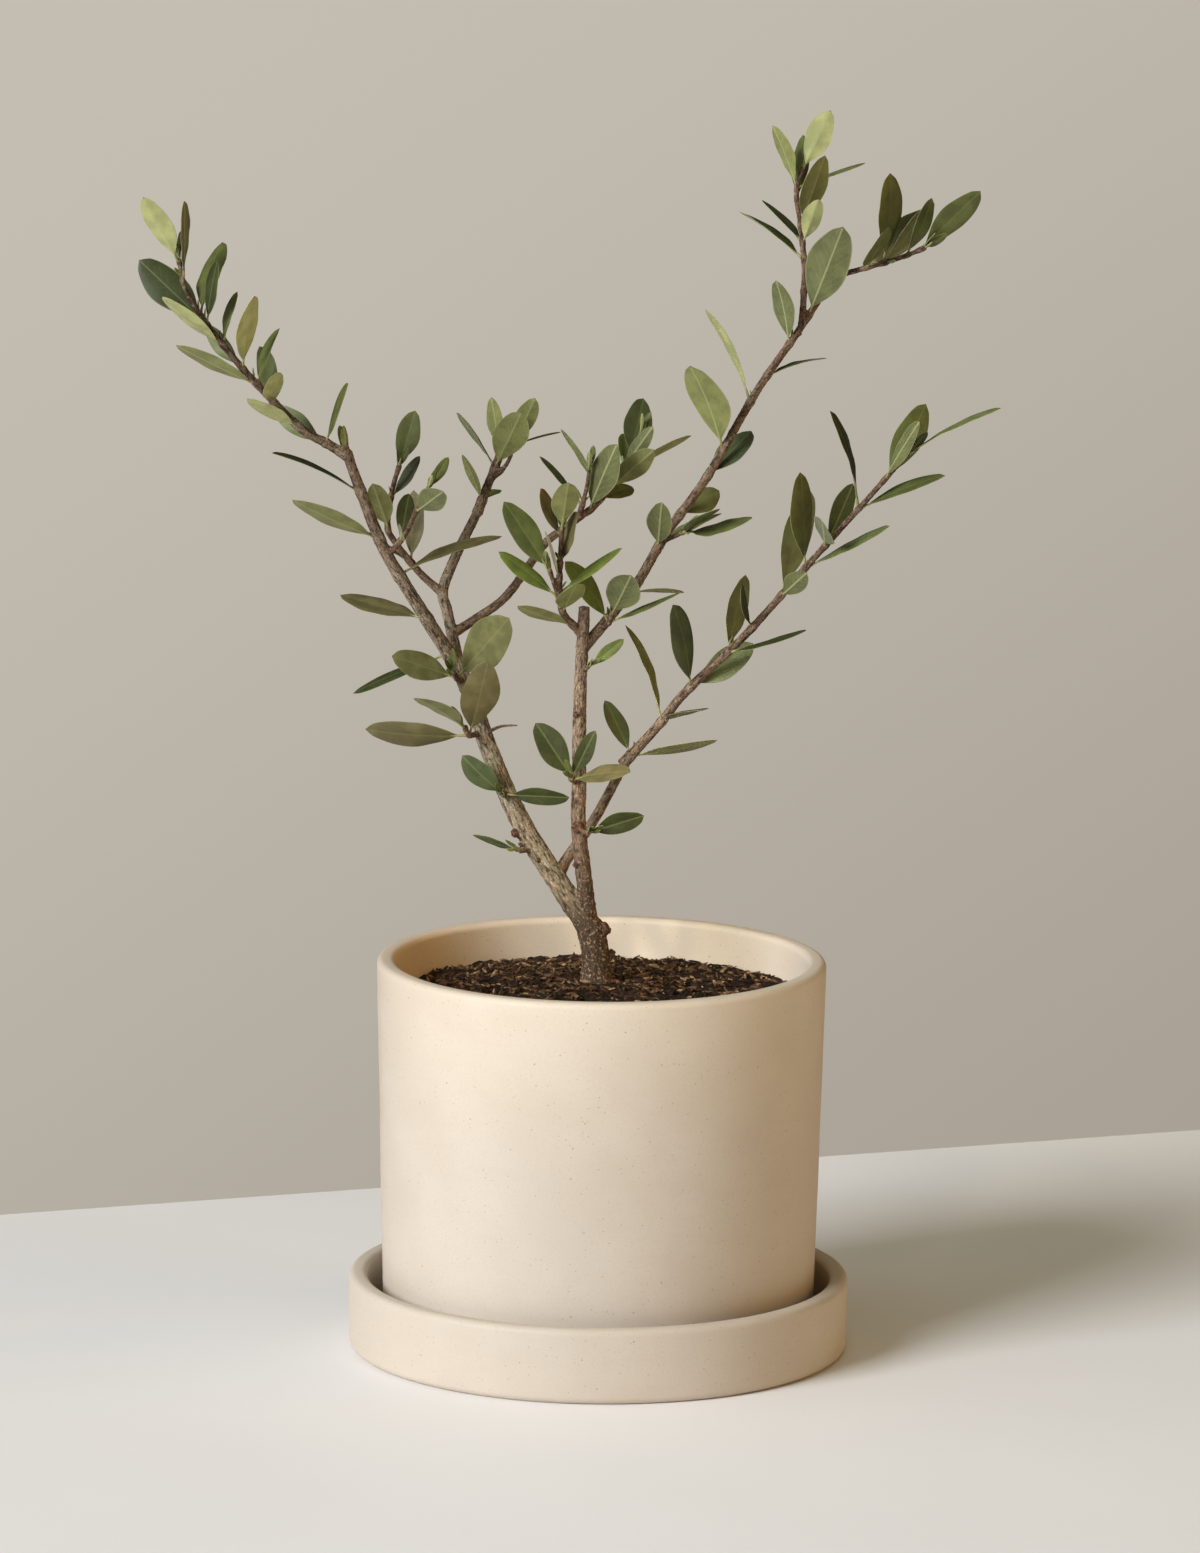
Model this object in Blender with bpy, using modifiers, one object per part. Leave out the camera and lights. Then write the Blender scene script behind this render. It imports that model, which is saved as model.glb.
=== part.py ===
"""Potted young olive tree: a cream pot of soil on its saucer, and the tree that grows in it.

Sizes below are in millimetres, and the meshes are made in metres, +Z up. The origin is the middle of the
saucer's flat underside, and -Y is the front. The route of a limb or shoot is a few points from its foot
to its tip. Leaves follow the olive's own rule: they grow in opposite pairs, and each pair stands a quarter
turn round its stem from the last.
"""

import math
import random
from collections import namedtuple

import bmesh
import bpy
import numpy as np

MM = 0.001
GAP = 0.3  # clearance between two pieces that touch
FRONT = np.array([0.0, -1.0, 0.0])
UP = np.array([0.0, 0.0, 1.0])

# Pot, saucer and soil
Vessel = namedtuple("Vessel", "low high foot rim wall floor lip corner")
SAUCER = Vessel(low=0.0, high=21.9, foot=72.3, rim=72.5, wall=5.3, floor=6.0, lip=1.9, corner=2.4)
POT = Vessel(low=6.3, high=114.5, foot=62.5, rim=65.0, wall=5.4, floor=7.0, lip=1.9, corner=2.2)
TURNED_STEPS = 48
SOIL_TOP = 106.7
SOIL_FALL = ((14.0, 0.0), (32.0, 1.2), (48.0, 2.9), (57.5, 3.9))  # radius, and how far the soil has dropped

# Limbs, with the radius of the foot and of the tip
Limb = namedtuple("Limb", "name parents foot tip route")
LIMBS = (
    Limb("trunk", (), 3.9, 4.1, ((-1.5, 5, 107), (-1.5, 5, 110), (-2, 5, 116), (-3.5, 5, 123))),
    Limb(
        "left_leader",
        ("trunk",),
        3.5,
        2.3,
        (
            (-2.5, 5, 121), (-13, 5.5, 136), (-24, 7, 153.5),
            (-32.5, 10, 172), (-37.5, 12, 186), (-43, 13.5, 199),
        ),
    ),
    Limb(
        "centre_stem",
        ("trunk", "left_leader"),
        2.5,
        1.7,
        (
            (-3.5, 5, 122), (-5, 3.5, 135), (-7, 1, 152.5),
            (-7, -1, 167), (-7, -3, 190.5), (-6, -5, 218),
        ),
    ),
    Limb(
        "right_bough",
        ("left_leader",),
        1.7,
        1.35,
        ((-13, 5.5, 137.5), (-9.5, 10, 143), (-2.5, 12, 153), (3.2, 9, 164.5), (6, 8, 170.5)),
    ),
    Limb("upper_right_bough", ("centre_stem",), 1.65, 1.55, ((-7, -4, 205), (-1.5, -1, 211), (5, 3, 218.5))),
    Limb(
        "left_inner_bough",
        ("left_leader",),
        1.8,
        1.4,
        ((-41.5, 13.5, 195), (-45.5, 22, 211), (-47, 26, 217.5), (-43, 32, 227.5), (-37, 39, 239)),
    ),
    Limb(
        "rear_bough",
        ("left_inner_bough",),
        1.4,
        1.2,
        ((-44.5, 19, 205.5), (-37.5, 23, 209.5), (-28.5, 26, 216), (-18.5, 34, 229), (-13.5, 36, 233.5)),
    ),
)
FLARE = 1.0  # how much wider the trunk's radius is at the soil
FLARE_HEIGHT = 2.6
LIMB_STEP = 5.0
LIMB_SIDES = 8

# Shoots, with the radius of the foot and tip, the first pair's distance along the route and its turn from
# the front in degrees, the turn from each pair to the next, the leaf's length, and a seed for each pair.
# A pair stands a quarter turn from the last, or nearly in line with it on leaning shoots that twist their
# leaves to the light. Rise is the angle in degrees between the lowest leaves and the shoot.
RISE_AT_FOOT = 54.0
Shoot = namedtuple("Shoot", "foot tip first turn twist leaf seeds route rise", defaults=(RISE_AT_FOOT,))
Spray = namedtuple("Spray", "name parents shoots")
SPRAYS = (
    Spray(
        "left_outer_spray",
        ("left_leader", "left_inner_bough"),
        (
            Shoot(
                2.1, 1.5, 2, 90, 0, 28,
                (1, 5543, 4603, 2513, 824, 1),
                (
                    (-43, 13.7, 198), (-47.5, 10, 205.5), (-57, 2, 222),
                    (-64, -3, 235), (-71, -9, 254), (-74, -12, 263),
                ),
                rise=95,
            ),
            Shoot(
                0.9, 0.6, 7, 42, -15, 17,
                (4415, 2862, 1459),
                ((-62.5, -2, 231.5), (-57, -5, 239), (-54.5, -8, 245), (-50.5, -11, 253)),
            ),
        ),
    ),
    Spray(
        "left_tip_spray",
        ("left_outer_spray",),
        (
            Shoot(
                1.4, 0.6, 6, 30, 90, 23,
                (1930, 4590, 2542, 1683, 844, 289, 2488, 1239, 4031, 245),
                (
                    (-74, -12, 262), (-80, -14, 266), (-87, -17, 270.5), (-99.5, -22, 284),
                    (-110, -26, 297), (-118.5, -29, 310), (-121, -30, 320),
                ),
            ),
        ),
    ),
    Spray(
        "inner_side_spray",
        ("left_inner_bough",),
        (
            Shoot(
                1.2, 0.7, 12, 108, 90, 18,
                (2760, 2643, 4675, 3244),
                (
                    (-46.5, 25.5, 216), (-54, 24, 223), (-61, 20, 232.5),
                    (-63, 18, 237.5), (-61.5, 14, 248.5), (-59.5, 11, 256),
                ),
            ),
        ),
    ),
    Spray(
        "inner_top_spray",
        ("left_inner_bough",),
        (
            Shoot(
                1.4, 1.2, 5, 120, 90, 19,
                (515, 5253, 4673),
                ((-37.5, 38.5, 238), (-34, 42.5, 247), (-30.5, 46, 255.5)),
            ),
            Shoot(
                0.8, 0.5, 2, 138, 90, 17,
                (7, 5551),
                ((-34, 42.5, 247), (-29, 43, 252), (-26.5, 44, 259)),
            ),
        ),
    ),
    Spray(
        "rear_spray",
        ("rear_bough",),
        (
            Shoot(
                1.15, 0.6, 10, 0, 90, 21,
                (5129, 4868, 2154, 88, 5473, 127, 1898, 43, 88),
                ((-14, 35.8, 233), (-8, 38, 237), (-2, 42, 241.5), (6.5, 50, 252.5), (10, 53, 260)),
            ),
            Shoot(
                0.8, 0.5, 2, 120, 90, 20,
                (4301,),
                ((-8, 38, 237), (-6, 37, 245), (-5, 36, 252)),
            ),
        ),
    ),
    Spray(
        "centre_spray",
        ("centre_stem",),
        (
            Shoot(
                1.1, 0.6, 5, 90, 90, 20,
                (2513, 1882, 3964, 52, 52, 4272, 110, 4456),
                (
                    (-7.3, -4.3, 210.5), (-12, -10, 217), (-13, -14, 223),
                    (-13, -20, 234), (-12.5, -24, 244),
                ),
            ),
            Shoot(
                0.8, 0.6, 3, 60, 0, 20,
                (1, 29),
                ((-12.3, -11, 219), (-14.5, -16.5, 226), (-16, -19, 231)),
            ),
        ),
    ),
    Spray(
        "upper_right_spray",
        ("upper_right_bough",),
        (
            Shoot(
                1.5, 1, 2, 120, 0, 25,
                (1911, 4616, 2836, 334, 2051, 925, 1715, 63, 4390, 88),
                (
                    (4.5, 2.7, 218), (9, 6, 223), (17.5, 12, 237), (29, 19, 252.5),
                    (43, 28, 276), (55, 34, 293), (65, 40, 308),
                ),
            ),
            Shoot(
                0.8, 0.5, 10, 108, 90, 24,
                (1147, 3090),
                ((17, 12, 235), (22.5, 4, 238.5)),
            ),
            Shoot(
                0.9, 0.6, 10, 30, 0, 22,
                (2232, 3574, 2097, 1515, 2643, 88),
                ((65, 40, 308), (76, 34, 312), (84, 30, 315), (91, 26, 318.5)),
            ),
            Shoot(
                1, 0.6, 10, 0, 90, 21,
                (88, 5128, 5212, 641, 5604, 2043, 4187),
                ((56, 34.5, 295), (56.5, 38, 310), (55.5, 42, 321), (54, 47, 332), (56, 50, 338.5)),
            ),
        ),
    ),
    Spray(
        "right_spray",
        ("right_bough",),
        (
            Shoot(
                1.5, 0.7, 2, 102, 90, 26,
                (2650, 5987, 2530, 3428, 1644, 19, 1184, 3485, 5137, 2036, 10),
                (
                    (5.5, 8.1, 170), (16, 2, 183), (23.5, -3, 193.5), (40.5, -12, 212),
                    (57.5, -24, 234), (72.5, -36, 253.5), (84.5, -44, 269),
                ),
            ),
        ),
    ),
    Spray(
        "bough_sprig",
        ("upper_right_bough",),
        (
            Shoot(
                0.8, 0.7, 8, 72, -15, 22,
                (3978, 5303),
                ((-1, -1, 211.5), (1, -6, 213.5), (2, -8, 217)),
            ),
        ),
    ),
    Spray(
        "fork_sprig",
        ("left_leader",),
        (
            Shoot(
                0.9, 0.7, 6, 60, 90, 26,
                (350,),
                ((-41, 13, 193), (-42.5, 6, 195), (-43.5, 1, 198)),
            ),
        ),
    ),
    Spray(
        "low_left_sprig",
        ("left_leader",),
        (
            Shoot(
                0.9, 0.7, 7, 48, 75, 28,
                (53, 761),
                ((-36, 10.5, 178), (-39, 3, 179), (-40, 1, 182)),
            ),
        ),
    ),
    Spray(
        "lowest_left_sprig",
        ("left_leader",),
        (
            Shoot(
                0.9, 0.7, 2, 0, 90, 19,
                (2603,),
                ((-28, 8, 161), (-29, 1, 162)),
            ),
        ),
    ),
    Spray(
        "centre_low_sprig",
        ("centre_stem",),
        (
            Shoot(
                0.8, 0.7, 2, 12, 75, 21,
                (810, 1461),
                ((-7.5, -1, 166), (-9.5, -6, 168.5)),
            ),
        ),
    ),
    Spray(
        "knob_sprig",
        ("centre_stem",),
        (
            Shoot(
                0.8, 0.7, 6, 138, 90, 18,
                (3047,),
                ((-7, 1, 151.5), (-4, -4, 152)),
            ),
        ),
    ),
    Spray(
        "leader_sprig",
        ("left_leader",),
        (
            Shoot(
                0.8, 0.7, 6, 48, 90, 16,
                (5763,),
                ((-18.3, 6, 145), (-24, 2, 145.5)),
            ),
        ),
    ),
    Spray(
        "stem_top_sprig",
        ("centre_stem",),
        (
            Shoot(
                0.7, 0.6, 4, 150, 90, 12,
                (3229,),
                ((-7.3, -3, 198.5), (-4.6, -6, 200.7)),
            ),
        ),
    ),
)
STEM_STEP = 5.0
STEM_SIDES = 6

# The leaf's rule
RISE_AT_TIP = 28.0
LIFT = 0.4  # how far leaves rise towards the light
FIRST_SPOT = 4.0  # the nearest that a leaf grows to its shoot's foot, clear of what the shoot grows on
SPOT_SPREAD = 2.5
PAIR_SPREAD = 30.0
TURN_SPREAD = 18.0
RISE_SPREAD = 10.0
ROLL_SPREAD = 16.0
LENGTH_SPREAD = (0.66, 1.2)
WIDTH_SPREAD = (0.28, 0.46)  # shares of the length
BEND_SPREAD = (-8.0, 26.0)
FALLEN = 0.14  # share of the leaves that have dropped
PETIOLE = 0.1  # share of the length
PETIOLE_WIDTH = 0.07  # share of the width
CROWDING = 0.9  # below 1, pairs come closer together towards the tip
BARE_TIP = 0.8
LEAF_THICK = 0.5
LEAF_ROWS = 6
TEST_ROWS = 12
TEST_COLUMNS = 6
TEST_FROM = 3  # the first row that has to be clear of other things
WOOD_CLEAR = 0.55
LEAF_CLEAR = 1.3
NUDGES = (0, 14, -14, 28, -28, 42, -42)  # degrees

Leaf = namedtuple("Leaf", "root along across normal length width bend")

# Colours as shown on a screen, and roughness
CREAM = ((0.89, 0.81, 0.70), 0.6)
SOIL = ((0.23, 0.15, 0.11), 0.95)
BARK = ((0.50, 0.42, 0.34), 0.8)
LEAF_GREEN = ((0.42, 0.47, 0.32), 0.55)


def linear(colour):
    """The scene's linear value of a screen colour."""
    return [((c + 0.055) / 1.055) ** 2.4 for c in colour] + [1.0]


def material(name, finish):
    colour, roughness = finish
    made = bpy.data.materials.new(name)
    made.use_nodes = True
    shader = made.node_tree.nodes["Principled BSDF"]
    shader.inputs["Base Color"].default_value = linear(colour)
    shader.inputs["Roughness"].default_value = roughness
    shader.inputs["Metallic"].default_value = 0.0
    return made


def arc(radius, height, size, start, end, count=4):
    """Points of a round corner: its centre's radius and height, its size and its angles in degrees."""
    angles = np.radians(np.linspace(start, end, count))
    return [(radius + size * math.cos(a), height + size * math.sin(a)) for a in angles]


def inner_radius(vessel, height):
    """Inside radius of a vessel's wall at a height."""
    share = (height - vessel.low) / (vessel.high - vessel.low)
    return vessel.foot + (vessel.rim - vessel.foot) * share - vessel.wall


def vessel_profile(vessel):
    """From the middle of the inside floor, up the inside, over the lip and down the outside."""
    floor = vessel.low + vessel.floor
    fillet = vessel.wall / 2
    inside = inner_radius(vessel, floor)
    lip, corner = vessel.lip, vessel.corner
    return [
        (0.0, floor),
        *arc(inside - fillet, floor + fillet, fillet, -90, 0),
        *arc(vessel.rim - vessel.wall + lip, vessel.high - lip, lip, 180, 90),
        *arc(vessel.rim - lip, vessel.high - lip, lip, 90, 0),
        *arc(vessel.foot - corner, vessel.low + corner, corner, 0, -90),
        (0.0, vessel.low),
    ]


def soil_profile():
    """From the mound's middle out to the pot's wall, down it and back along the pot's floor."""
    edge = SOIL_TOP - SOIL_FALL[-1][1] - 0.4
    floor = POT.low + POT.floor
    corner = POT.wall / 2 + GAP
    return [
        (0.0, SOIL_TOP),
        *((radius, SOIL_TOP - drop) for radius, drop in SOIL_FALL),
        (inner_radius(POT, edge) - GAP, edge),
        (inner_radius(POT, floor) - GAP, floor + corner),
        (inner_radius(POT, floor) - corner, floor + GAP),
        (0.0, floor + GAP),
    ]


def turned(name, profile, finish, collection):
    """A solid turned from its profile by a Screw modifier."""
    mesh = bpy.data.meshes.new(name)
    points = [(radius * MM, 0.0, height * MM) for radius, height in profile]
    mesh.from_pydata(points, [(i, i + 1) for i in range(len(points) - 1)], [])
    mesh.materials.append(finish)
    piece = bpy.data.objects.new(name, mesh)
    collection.objects.link(piece)
    screw = piece.modifiers.new("turn", "SCREW")
    screw.steps = screw.render_steps = TURNED_STEPS
    screw.use_merge_vertices = True
    screw.merge_threshold = 0.00001
    screw.use_smooth_shade = True
    return piece


def smooth_path(route, step):
    """Points about a step apart on one smooth curve through all the route's points."""
    route = np.array(route, float)
    knots = [2 * route[0] - route[1], *route, 2 * route[-1] - route[-2]]
    path = []
    for a, b, c, d in zip(knots, knots[1:], knots[2:], knots[3:]):
        count = max(1, round(np.linalg.norm(c - b) / step))
        for t in np.arange(count) / count:
            path.append(b + t * (c - a + t * (2 * a - 5 * b + 4 * c - d + t * (3 * b - 3 * c + d - a))) / 2)
    return np.array([*path, route[-1]])


def reach_of(path):
    """How far along the path each of its points is."""
    return np.concatenate([[0.0], np.cumsum(np.linalg.norm(np.diff(path, axis=0), axis=1))])


def spot_on(path, distance):
    """The point at a distance along the path, and the path's direction there."""
    reach = reach_of(path)
    ahead = min(distance + 0.5, reach[-1])
    point, start, end = (
        np.array([np.interp(d, reach, path[:, i]) for i in range(3)]) for d in (distance, ahead - 1.0, ahead)
    )
    return point, unit(end - start)


def unit(vector):
    return vector / np.linalg.norm(vector)


def radii_along(path, foot, tip, flare=0.0):
    """A limb's radius at each point of its path: an even taper, and a flare at the foot."""
    reach = reach_of(path)
    return foot + (tip - foot) * reach / reach[-1] + flare * np.exp(-reach / FLARE_HEIGHT)


def tube(name, path, radii, sides, collection):
    """A closed round solid along a path, as a mesh."""
    data = bpy.data.curves.new(name, "CURVE")
    data.dimensions = "3D"
    data.bevel_depth = 1.0
    data.bevel_resolution = sides // 2 - 2
    data.use_fill_caps = True
    spline = data.splines.new("POLY")
    spline.points.add(len(path) - 1)
    for point, place, radius in zip(spline.points, path, radii):
        point.co = (*(place * MM), 1.0)
        point.radius = radius * MM
    return as_mesh(bpy.data.objects.new(name, data), collection)


def as_mesh(piece, collection):
    """The piece as its modifiers or its curve show it, as a plain mesh object that takes its place."""
    if piece.name not in bpy.context.scene.collection.all_objects:
        bpy.context.scene.collection.objects.link(piece)
    graph = bpy.context.evaluated_depsgraph_get()
    mesh = bpy.data.meshes.new_from_object(piece.evaluated_get(graph), depsgraph=graph)
    name, place = piece.name, piece.matrix_world.copy()
    bpy.data.objects.remove(piece)
    work = bmesh.new()
    work.from_mesh(mesh)
    bmesh.ops.remove_doubles(work, verts=work.verts, dist=0.002 * MM)
    work.to_mesh(mesh)
    work.free()
    made = bpy.data.objects.new(name, mesh)
    made.matrix_world = place
    collection.objects.link(made)
    return made


def limb_path(limb):
    return smooth_path(limb.route, LIMB_STEP)


def cutter_of(name, path, radii, cutters):
    """A wire-frame helper: the limb with its clearance all round."""
    first, last = unit(path[0] - path[1]), unit(path[-1] - path[-2])
    longer = np.array([path[0] + first * GAP, *path[1:-1], path[-1] + last * GAP])
    piece = tube(f"{name}_clearance", longer, radii + GAP, LIMB_SIDES, cutters)
    piece.hide_render = True
    piece.display_type = "WIRE"
    return piece


def cut_clear(piece, parents, cutters):
    """Cuts the piece's foot to a seat on each of its parents, with the clearance between them."""
    for parent in parents:
        cut = piece.modifiers.new(f"seat on {parent}", "BOOLEAN")
        cut.operation = "DIFFERENCE"
        cut.object = cutters.objects[f"{parent}_clearance"]


def largest_body(piece):
    """Leaves only the piece's outer surface: cut-off scraps and sealed hollows go."""
    work = bmesh.new()
    work.from_mesh(piece.data)
    left, bodies = set(work.verts), []
    while left:
        found, edge = set(), [left.pop()]
        while edge:
            vert = edge.pop()
            found.add(vert)
            near = {link.other_vert(vert) for link in vert.link_edges} & left
            left -= near
            edge.extend(near)
        bodies.append(found)
    keep = max(bodies, key=spread_of)
    bmesh.ops.delete(work, geom=[v for v in work.verts if v not in keep], context="VERTS")
    work.to_mesh(piece.data)
    work.free()


def spread_of(verts):
    """The diagonal of the box round some vertices."""
    places = np.array([v.co for v in verts])
    return np.linalg.norm(places.max(axis=0) - places.min(axis=0))


def make_limb(limb, bark, collection, cutters):
    path = limb_path(limb)
    radii = radii_along(path, limb.foot, limb.tip, FLARE if not limb.parents else 0.0)
    piece = tube(limb.name, path, radii, LIMB_SIDES, collection)
    cut_clear(piece, limb.parents, cutters)
    piece = as_mesh(piece, collection)
    largest_body(piece)
    finish_round(piece, [bark])
    cutter_of(limb.name, path, radii, cutters)


def finish_round(piece, finishes):
    for finish in finishes:
        piece.data.materials.append(finish)
    piece.data.shade_smooth()
    piece.data.set_sharp_from_angle(angle=math.radians(50))


def half_width(share):
    """A leaf's half width at a share of its length, as a share of its greatest half width."""
    blade = np.clip((share - PETIOLE) / (1 - PETIOLE), 0, 1)
    return np.maximum(np.sin(math.pi * blade**1.05) ** (0.85 - 0.3 * blade), PETIOLE_WIDTH)


def blade_points(leaf, rows, columns):
    """Points of a leaf's blade in rows from its root to its tip, and columns from edge to edge."""
    share = np.linspace(0, 1, rows + 1)[:, None, None]
    across = np.linspace(-0.5, 0.5, columns + 1)[None, :, None]
    turned_by = np.radians(leaf.bend) * share / 2
    middle = leaf.along * np.cos(turned_by) - leaf.normal * np.sin(turned_by)
    return leaf.root + middle * share * leaf.length + leaf.across * across * half_width(share) * leaf.width


def set_leaf(point, tangent, turn, rise, roll, size, shape, bend):
    """A leaf on its stem: turned round it from the front, raised from it, and rolled about its own line."""
    front = unit(FRONT - tangent * FRONT.dot(tangent))
    side = np.cross(tangent, front)
    turn, rise, roll = np.radians((turn, rise, roll))
    outward = front * math.cos(turn) + side * math.sin(turn)
    along = unit(tangent * math.cos(rise) + outward * math.sin(rise) + UP * LIFT)
    flat = unit(tangent - along * tangent.dot(along))
    across = np.cross(flat, along)
    normal = flat * math.cos(roll) + across * math.sin(roll)
    return Leaf(point + outward * 0.2, along, np.cross(normal, along), normal, size, size * shape, bend)


def is_clear(foot, points, wood, leaves, name):
    """Whether a leaf keeps off the other leaves and all wood. Its foot may sit on its own piece's wood."""
    starts, ends, radii, owners = wood
    line = ends - starts
    offset = np.concatenate([foot, points])[:, None] - starts
    share = np.clip((offset * line).sum(2) / (line * line).sum(1), 0, 1)
    touching = np.linalg.norm(offset - share[..., None] * line, axis=2) < radii + WOOD_CLEAR
    touching[: len(foot), owners == name] = False
    if touching.any():
        return False
    near = [other for other in leaves if np.linalg.norm(other.mean(0) - points.mean(0)) < 40]
    return all(np.linalg.norm(points[:, None] - other, axis=2).min() > LEAF_CLEAR for other in near)


def pair_leaves(shoot, path, pair):
    """One pair of leaves by its own seed, each leaf as set_leaf takes it."""
    rng = random.Random(shoot.seeds[pair])
    share = pair / max(1, len(shoot.seeds) - 1)
    span = reach_of(path)[-1] - BARE_TIP - shoot.first
    spot = shoot.first + span * share**CROWDING + rng.uniform(-SPOT_SPREAD, SPOT_SPREAD) * (share < 1)
    point, tangent = spot_on(path, max(spot, FIRST_SPOT))
    pair_turn = shoot.turn + shoot.twist * pair + rng.uniform(-PAIR_SPREAD, PAIR_SPREAD)
    for side in (0, 180):
        turn = pair_turn + side + rng.uniform(-TURN_SPREAD, TURN_SPREAD)
        rise = shoot.rise + (RISE_AT_TIP - shoot.rise) * share**2 + rng.gauss(0, RISE_SPREAD)
        roll = rng.gauss(0, ROLL_SPREAD)
        size = shoot.leaf * rng.uniform(*LENGTH_SPREAD)
        shape = rng.uniform(*WIDTH_SPREAD)
        bend = rng.uniform(*BEND_SPREAD)
        if rng.random() > FALLEN:
            yield point, tangent, turn, rise, roll, size, shape, bend


def shoot_leaves(name, shoot, wood, leaves):
    """The leaves of one shoot. One that would touch a limb or a leaf turns a little, or is left out."""
    path = smooth_path(shoot.route, STEM_STEP)
    grown = []
    for pair in range(len(shoot.seeds)):
        for point, tangent, turn, *form in pair_leaves(shoot, path, pair):
            for nudge in NUDGES:
                leaf = set_leaf(point, tangent, turn + nudge, *form)
                rows = blade_points(leaf, TEST_ROWS, TEST_COLUMNS)
                foot, points = (part.reshape(-1, 3) for part in (rows[:TEST_FROM], rows[TEST_FROM:]))
                if is_clear(foot, points, wood, leaves, name):
                    leaves.append(points)
                    grown.append(leaf)
                    break
    return grown


def all_wood():
    """Every stretch of every limb and stem: its two ends, its radius and the piece that it belongs to."""
    limbs = [(limb.name, limb) for limb in LIMBS]
    limbs += [(spray.name, shoot) for spray in SPRAYS for shoot in spray.shoots]
    starts, ends, radii, owners = [], [], [], []
    for name, limb in limbs:
        path = smooth_path(limb.route, STEM_STEP)
        starts.append(path[:-1])
        ends.append(path[1:])
        radii.append(radii_along(path, limb.foot, limb.tip)[:-1])
        owners.append(np.full(len(path) - 1, name))
    return tuple(np.concatenate(part) for part in (starts, ends, radii, owners))


def make_leaf(leaf, name, green, collection):
    """A grid shaped to the leaf's outline and made solid."""
    points = blade_points(leaf, LEAF_ROWS, 1) * MM
    work = bmesh.new()
    bmesh.ops.create_grid(work, x_segments=1, y_segments=LEAF_ROWS, size=0.5)
    for vert in work.verts:
        vert.co = points[round((vert.co.y + 0.5) * LEAF_ROWS), round(vert.co.x + 0.5)]
    mesh = bpy.data.meshes.new(name)
    work.to_mesh(mesh)
    work.free()
    mesh.materials.append(green)
    piece = bpy.data.objects.new(name, mesh)
    collection.objects.link(piece)
    shell = piece.modifiers.new("thickness", "SOLIDIFY")
    shell.thickness = LEAF_THICK * MM
    shell.offset = 0.0


def make_spray(spray, wood, leaves, finishes, collection, cutters):
    """One mass of leaves: its stem, the twigs on it and their leaves, all fused into one solid."""
    bark, green = finishes
    loose = bpy.data.collections.new(f"{spray.name} pieces")
    bpy.context.scene.collection.children.link(loose)
    stem, *twigs = spray.shoots
    stem_path = smooth_path(stem.route, STEM_STEP)
    stem_radii = radii_along(stem_path, stem.foot, stem.tip)
    body = tube(spray.name, stem_path, stem_radii, STEM_SIDES, collection)
    body.data.materials.append(bark)
    cut_clear(body, spray.parents, cutters)
    body = as_mesh(body, collection)
    largest_body(body)
    for number, twig in enumerate(twigs):
        path = smooth_path(twig.route, STEM_STEP)
        radii = radii_along(path, twig.foot, twig.tip)
        piece = tube(f"{spray.name} twig {number}", path, radii, STEM_SIDES, loose)
        piece.data.materials.append(bark)
    for number, shoot in enumerate(spray.shoots):
        for count, leaf in enumerate(shoot_leaves(spray.name, shoot, wood, leaves)):
            make_leaf(leaf, f"{spray.name} leaf {number} {count}", green, loose)
    join = body.modifiers.new("join", "BOOLEAN")
    join.operation = "UNION"
    join.operand_type = "COLLECTION"
    join.collection = loose
    join.material_mode = "TRANSFER"
    body = as_mesh(body, collection)
    for piece in list(loose.objects):
        bpy.data.objects.remove(piece)
    bpy.data.collections.remove(loose)
    largest_body(body)
    cutter_of(spray.name, stem_path, stem_radii, cutters)


def clear_scene():
    for piece in list(bpy.data.objects):
        bpy.data.objects.remove(piece)


def new_collection(name):
    made = bpy.data.collections.new(name)
    bpy.context.scene.collection.children.link(made)
    return made


def main():
    clear_scene()
    collection = new_collection("potted_olive_tree")
    cutters = new_collection("cutters")
    cream = material("cream_ceramic", CREAM)
    turned("saucer", vessel_profile(SAUCER), cream, collection)
    turned("pot", vessel_profile(POT), cream, collection)
    turned("soil", soil_profile(), material("soil", SOIL), collection)
    bark = material("bark", BARK)
    green = material("olive_leaf", LEAF_GREEN)
    for limb in LIMBS:
        make_limb(limb, bark, collection, cutters)
    wood, leaves = all_wood(), []
    for spray in SPRAYS:
        make_spray(spray, wood, leaves, (bark, green), collection, cutters)


main()
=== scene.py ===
"""The potted olive tree dressed for the camera: speckled clay, soil with chips, bark and leaves.

Sizes are in millimetres, as in the part's source, and meshes are made in metres. The limbs, the shoots and
the leaf's rule are the source's own, written again here, so each leaf stands where its solid stands.
"""

import itertools
import math
import random
from collections import namedtuple

import bmesh
import bpy
import numpy as np
from mathutils import Matrix, Vector, kdtree, noise
from numpy.linalg import norm


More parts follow.
